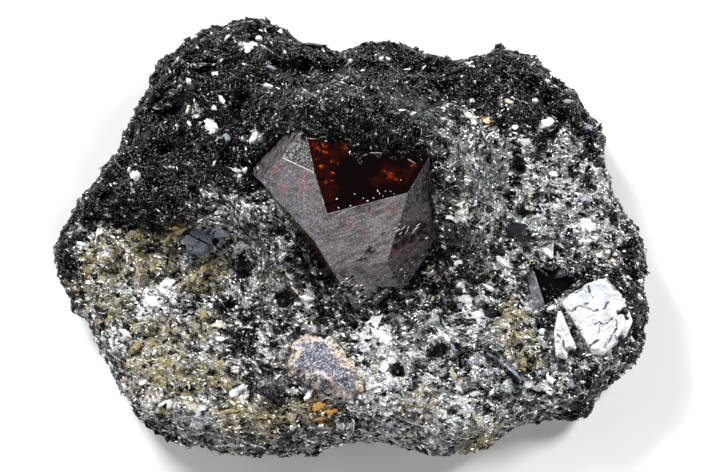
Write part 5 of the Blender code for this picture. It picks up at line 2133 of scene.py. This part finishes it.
@dataclass
class Studio:
    """The table, the lamps and the camera.

    Attributes:
        elevation: The camera's height above level, in degrees.
        distance: The camera's distance in millimetres.
        aim: The point that it looks at.
        pixel: Width of one pixel at the aim, in millimetres.
        columns: Pixels across the frame.
        softboxes: The lamps.
        walls: Brightness of the room's walls.
        ceiling: Brightness of its ceiling.
    """

    elevation: float = 75.0
    distance: float = 420.0
    aim: tuple[float, float, float] = (0.32, -0.879, 8.231)
    pixel: float = 0.12
    columns: int = 708
    softboxes: tuple[Softbox, ...] = (
        Softbox("softbox_back_left", (-0.50, 0.60, 0.62), 0.8, 0.26, 0.26, 36.0),
        Softbox("softbox_back_right", (0.70, 0.40, 0.60), 0.8, 0.24, 0.24, 34.0),
        Softbox("softbox_left", (-0.90, 0.05, 0.42), 0.8, 0.44, 0.30, 4.0),
        Softbox("softbox_front", (0.25, -0.85, 0.50), 0.8, 0.44, 0.28, 6.5),
    )
    walls: float = 0.1
    ceiling: float = 0.03

    def build(self) -> None:
        """Set up all of it."""
        self.table()
        for softbox in self.softboxes:
            softbox.build()
        self.room()
        self.camera()

    def table(self) -> None:
        """Lay the table top."""
        deselect_all()
        bpy.ops.mesh.primitive_plane_add(size=1.6, location=(0.0, 0.0, 0.0))
        top = bpy.context.object
        top.name = "table_top"
        top.data.materials.append(PaleTable().build())

    def room(self) -> None:
        """Give the room its even light, from pale walls up to a dark ceiling."""
        world = bpy.data.worlds.new("room")
        world.use_nodes = True
        tree = world.node_tree
        place = add_node(tree, "TexCoord").outputs["Generated"]
        height = add_node(tree, "SeparateXYZ", (place,))
        levels = (height.outputs["Z"], 0.25, 0.8, self.walls, self.ceiling)
        light = add_node(tree, "MapRange", levels, interpolation_type="SMOOTHSTEP")
        feed(tree.nodes["Background"], {"Strength": light, "Color": "ffffff"})
        bpy.context.scene.world = world
        bpy.context.scene.view_settings.view_transform = "Standard"

    def camera(self) -> None:
        """Set the camera at its angle over the specimen."""
        lens = bpy.data.cameras.new("camera")
        lens.sensor_width = 36.0
        lens.lens = 36.0 * self.distance / (self.columns * self.pixel)
        lens.clip_start, lens.clip_end = 0.01, 5.0
        holder = placed("camera", lens)
        tilt = math.radians(self.elevation)
        away = Vector((0.0, -math.cos(tilt), math.sin(tilt)))
        holder.location = (Vector(self.aim) + away * self.distance) * MM
        holder.rotation_euler = (math.pi / 2.0 - tilt, 0.0, 0.0)
        bpy.context.scene.camera = holder


# ------------------------------ assembly


BIOTITE_FLAKE = MicaFlakes("biotite_flakes_split", 0.06, 0.0, 1.36, 0.0)
SILVER_FLAKE = MicaFlakes("muscovite_flakes_split", 0.18, 0.6, 1.6, 0.08)
EARTHY_GRAIN = MicaFlakes("limonite_stained_mica", 0.5, 0.0, 1.5, 0.3)
PALE_GRAIN = MicaFlakes("bleached_mica_and_quartz", 0.36, 0.1, 1.55, 0.2)

FLAKE_KINDS = [
    FlakeKind(
        "biotite_flakes", {BIOTITE: 1.0, GRAPHITE: 0.6},
        FlakeShape(4, 0.2), 0.42, 0.45, 3.0, 0.3, 0.12, 0.5, BIOTITE_FLAKE, 0.9, strips=4,
    ),
    FlakeKind(
        "silver_flakes", {SILVER: 1.0, STEEL: 1.0},
        FlakeShape(3, 0.16), 0.38, 0.55, 6.0, 0.45, 0.32, 1.3, SILVER_FLAKE,
    ),
    FlakeKind(
        "sage_scales", {SAGE: 1.0},
        FlakeShape(4, 0.2), 0.17, 0.3, 2.4, 0.35, 0.25, 0.5, SILVER_FLAKE,
    ),
    FlakeKind(
        "stained_flakes", {OCHRE: 1.0, RUST: 1.0},
        FlakeShape(4, 0.3), 0.26, 0.5, 3.0, 0.5, 0.3, 0.35, EARTHY_GRAIN,
    ),
    FlakeKind(
        "pale_flakes", {CHALK: 1.0, CREAM: 1.0},
        FlakeShape(4, 0.25), 0.2, 0.6, 2.4, 0.4, 0.25, 0.25, PALE_GRAIN,
    ),
]

BLACK_FACE = MicaCleavage("biotite_cleavage_face", "060607", 0.8, "1c1c20", 0.07, 0.0, 2.2, 0.3, 0.004, 0.01)
GREY_SIDE = MicaCleavage("biotite_bent_sheet", "6c6e72", 0.7, "2c2c30", 0.3, 0.1, 1.6, 0.3, 0.008, 0.02)
GREY_TOP = MicaCleavage("biotite_dull_face", "3a3b40", 0.4, "1a1a1c", 0.2, 0.1, 1.2, 0.4, 0.01, 0.03)
SILVER_FACE = MicaCleavage(
    "muscovite_cleavage_face", "ebedef", 0.8, "8a8a80", 0.28, 0.05, 1.8, 0.2, 0.006, 0.04,
)
PEARL_FACE = MicaCleavage("muscovite_pearly_flake", "f6f7f8", 0.8, "60605c", 0.25, 0.2, 0.9, 0.4, 0.02, 0.05)
STEEL_FACE = MicaCleavage(
    "phlogopite_cleavage_face", "7c8290", 0.5, "1a1e24", 0.22, 0.3, 1.0, 0.4, 0.008, 0.03,
)
PLATE_FACE = MicaCleavage("muscovite_plate_face", "cdcfd1", 0.85, "50504c", 0.3, 0.05, 0.8, 0.3, 0.008, 0.04)
DARK_PLATE_FACE = MicaCleavage(
    "biotite_plate_face", "0c0c0e", 0.6, "1c1c1e", 0.14, 0.0, 0.9, 0.4, 0.008, 0.03,
)

BOOK_CRACKS = (
    ((26.1, -11.0), (26.7, -10.5), (27.3, -10.5), (27.9, -10.7), (28.7, -10.9), (29.2, -10.9)),
    ((28.1, -8.0), (28.2, -8.6), (28.4, -9.0), (28.7, -9.4)),
    ((28.7, -12.6), (29.3, -12.3), (29.9, -12.5), (30.4, -12.2), (30.9, -11.8)),
    ((29.4, -12.5), (29.3, -13.0), (29.2, -13.5)),
    ((30.0, -15.2), (30.5, -14.4), (31.0, -13.7), (31.4, -12.8), (31.4, -12.0)),
    ((28.1, -15.2), (28.6, -14.8), (29.2, -14.5)),
    ((30.3, -7.2), (30.9, -7.9), (31.4, -8.5)),
    ((29.8, -10.7), (30.2, -10.3), (30.4, -9.9)),
    ((25.9, -9.0), (26.5, -8.7), (27.3, -8.2)),
    ((27.9, -10.0), (27.5, -10.5)),
)
BOOK_NOTCHES = ((32.3, -10.9, 0.4), (32.0, -14.1, 0.5))
WEDGE_CRACKS = (
    ((25.1, -14.4), (25.1, -15.2), (25.4, -15.4), (25.8, -15.6), (26.4, -15.5)),
    ((24.3, -13.7), (24.7, -14.2)),
)
WEDGE_NOTCHES = ((26.1, -15.7, 0.5),)
BLOCK_CRACKS = (
    ((22.5, -8.2), (23.2, -8.5), (23.7, -8.9), (24.3, -8.8)),
    ((23.8, -5.6), (24.8, -6.1), (25.6, -6.4)),
)

MICA_GRAINS = [
    MicaGrain(
        "biotite_crystal", "biotite_block", "black_mica", BLACK_FACE, ((197.0, 1.1),), GREY_SIDE,
        BLOCK_CRACKS,
    ),
    MicaGrain("small_biotite_crystal", "biotite_block_small", "black_mica", GREY_TOP),
    MicaGrain(
        "mica_book", "muscovite_book", "silver_mica", SILVER_FACE, cracks=BOOK_CRACKS, notches=BOOK_NOTCHES,
    ),
    MicaGrain(
        "mica_wedge", "muscovite_wedge", "silver_mica", SILVER_FACE, cracks=WEDGE_CRACKS,
        notches=WEDGE_NOTCHES,
    ),
    MicaGrain("mica_flake", "muscovite_flake", "silver_mica", PEARL_FACE, bite=0.3),
    MicaGrain("mica_plate", "phlogopite_plate", "blue_mica", STEEL_FACE, ((60.0, 0.2),)),
]


def main() -> None:
    """Build the specimen piece by piece and set it in the studio."""
    logging.basicConfig(level=logging.INFO, format="%(message)s")
    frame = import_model()
    nodes = frame["nodes"]
    solids = {name: bpy.data.objects[name] for name in nodes}
    crystals = [solid for name, solid in solids.items() if name != "schist_matrix"]
    slab = SchistSlab(solids["schist_matrix"], crystals)
    rock = slab.build()
    pieces = [rock]
    pieces += FlakeCoat(slab, rock, FLAKE_KINDS).build()
    pieces += ZirconCrystal(solids["zircon_crystal"]).build()
    pieces += LargePlates(solids["schist_matrix"], PLATES).build()
    pieces += [grain.build() for grain in MICA_GRAINS]
    pieces.append(FeldsparGrain(solids["feldspar_grain"]).build())
    for piece in pieces:
        LOG.info("%s: %d faces", piece.name, len(piece.data.polygons))
    Studio().build()


if __name__ == "__main__":
    main()
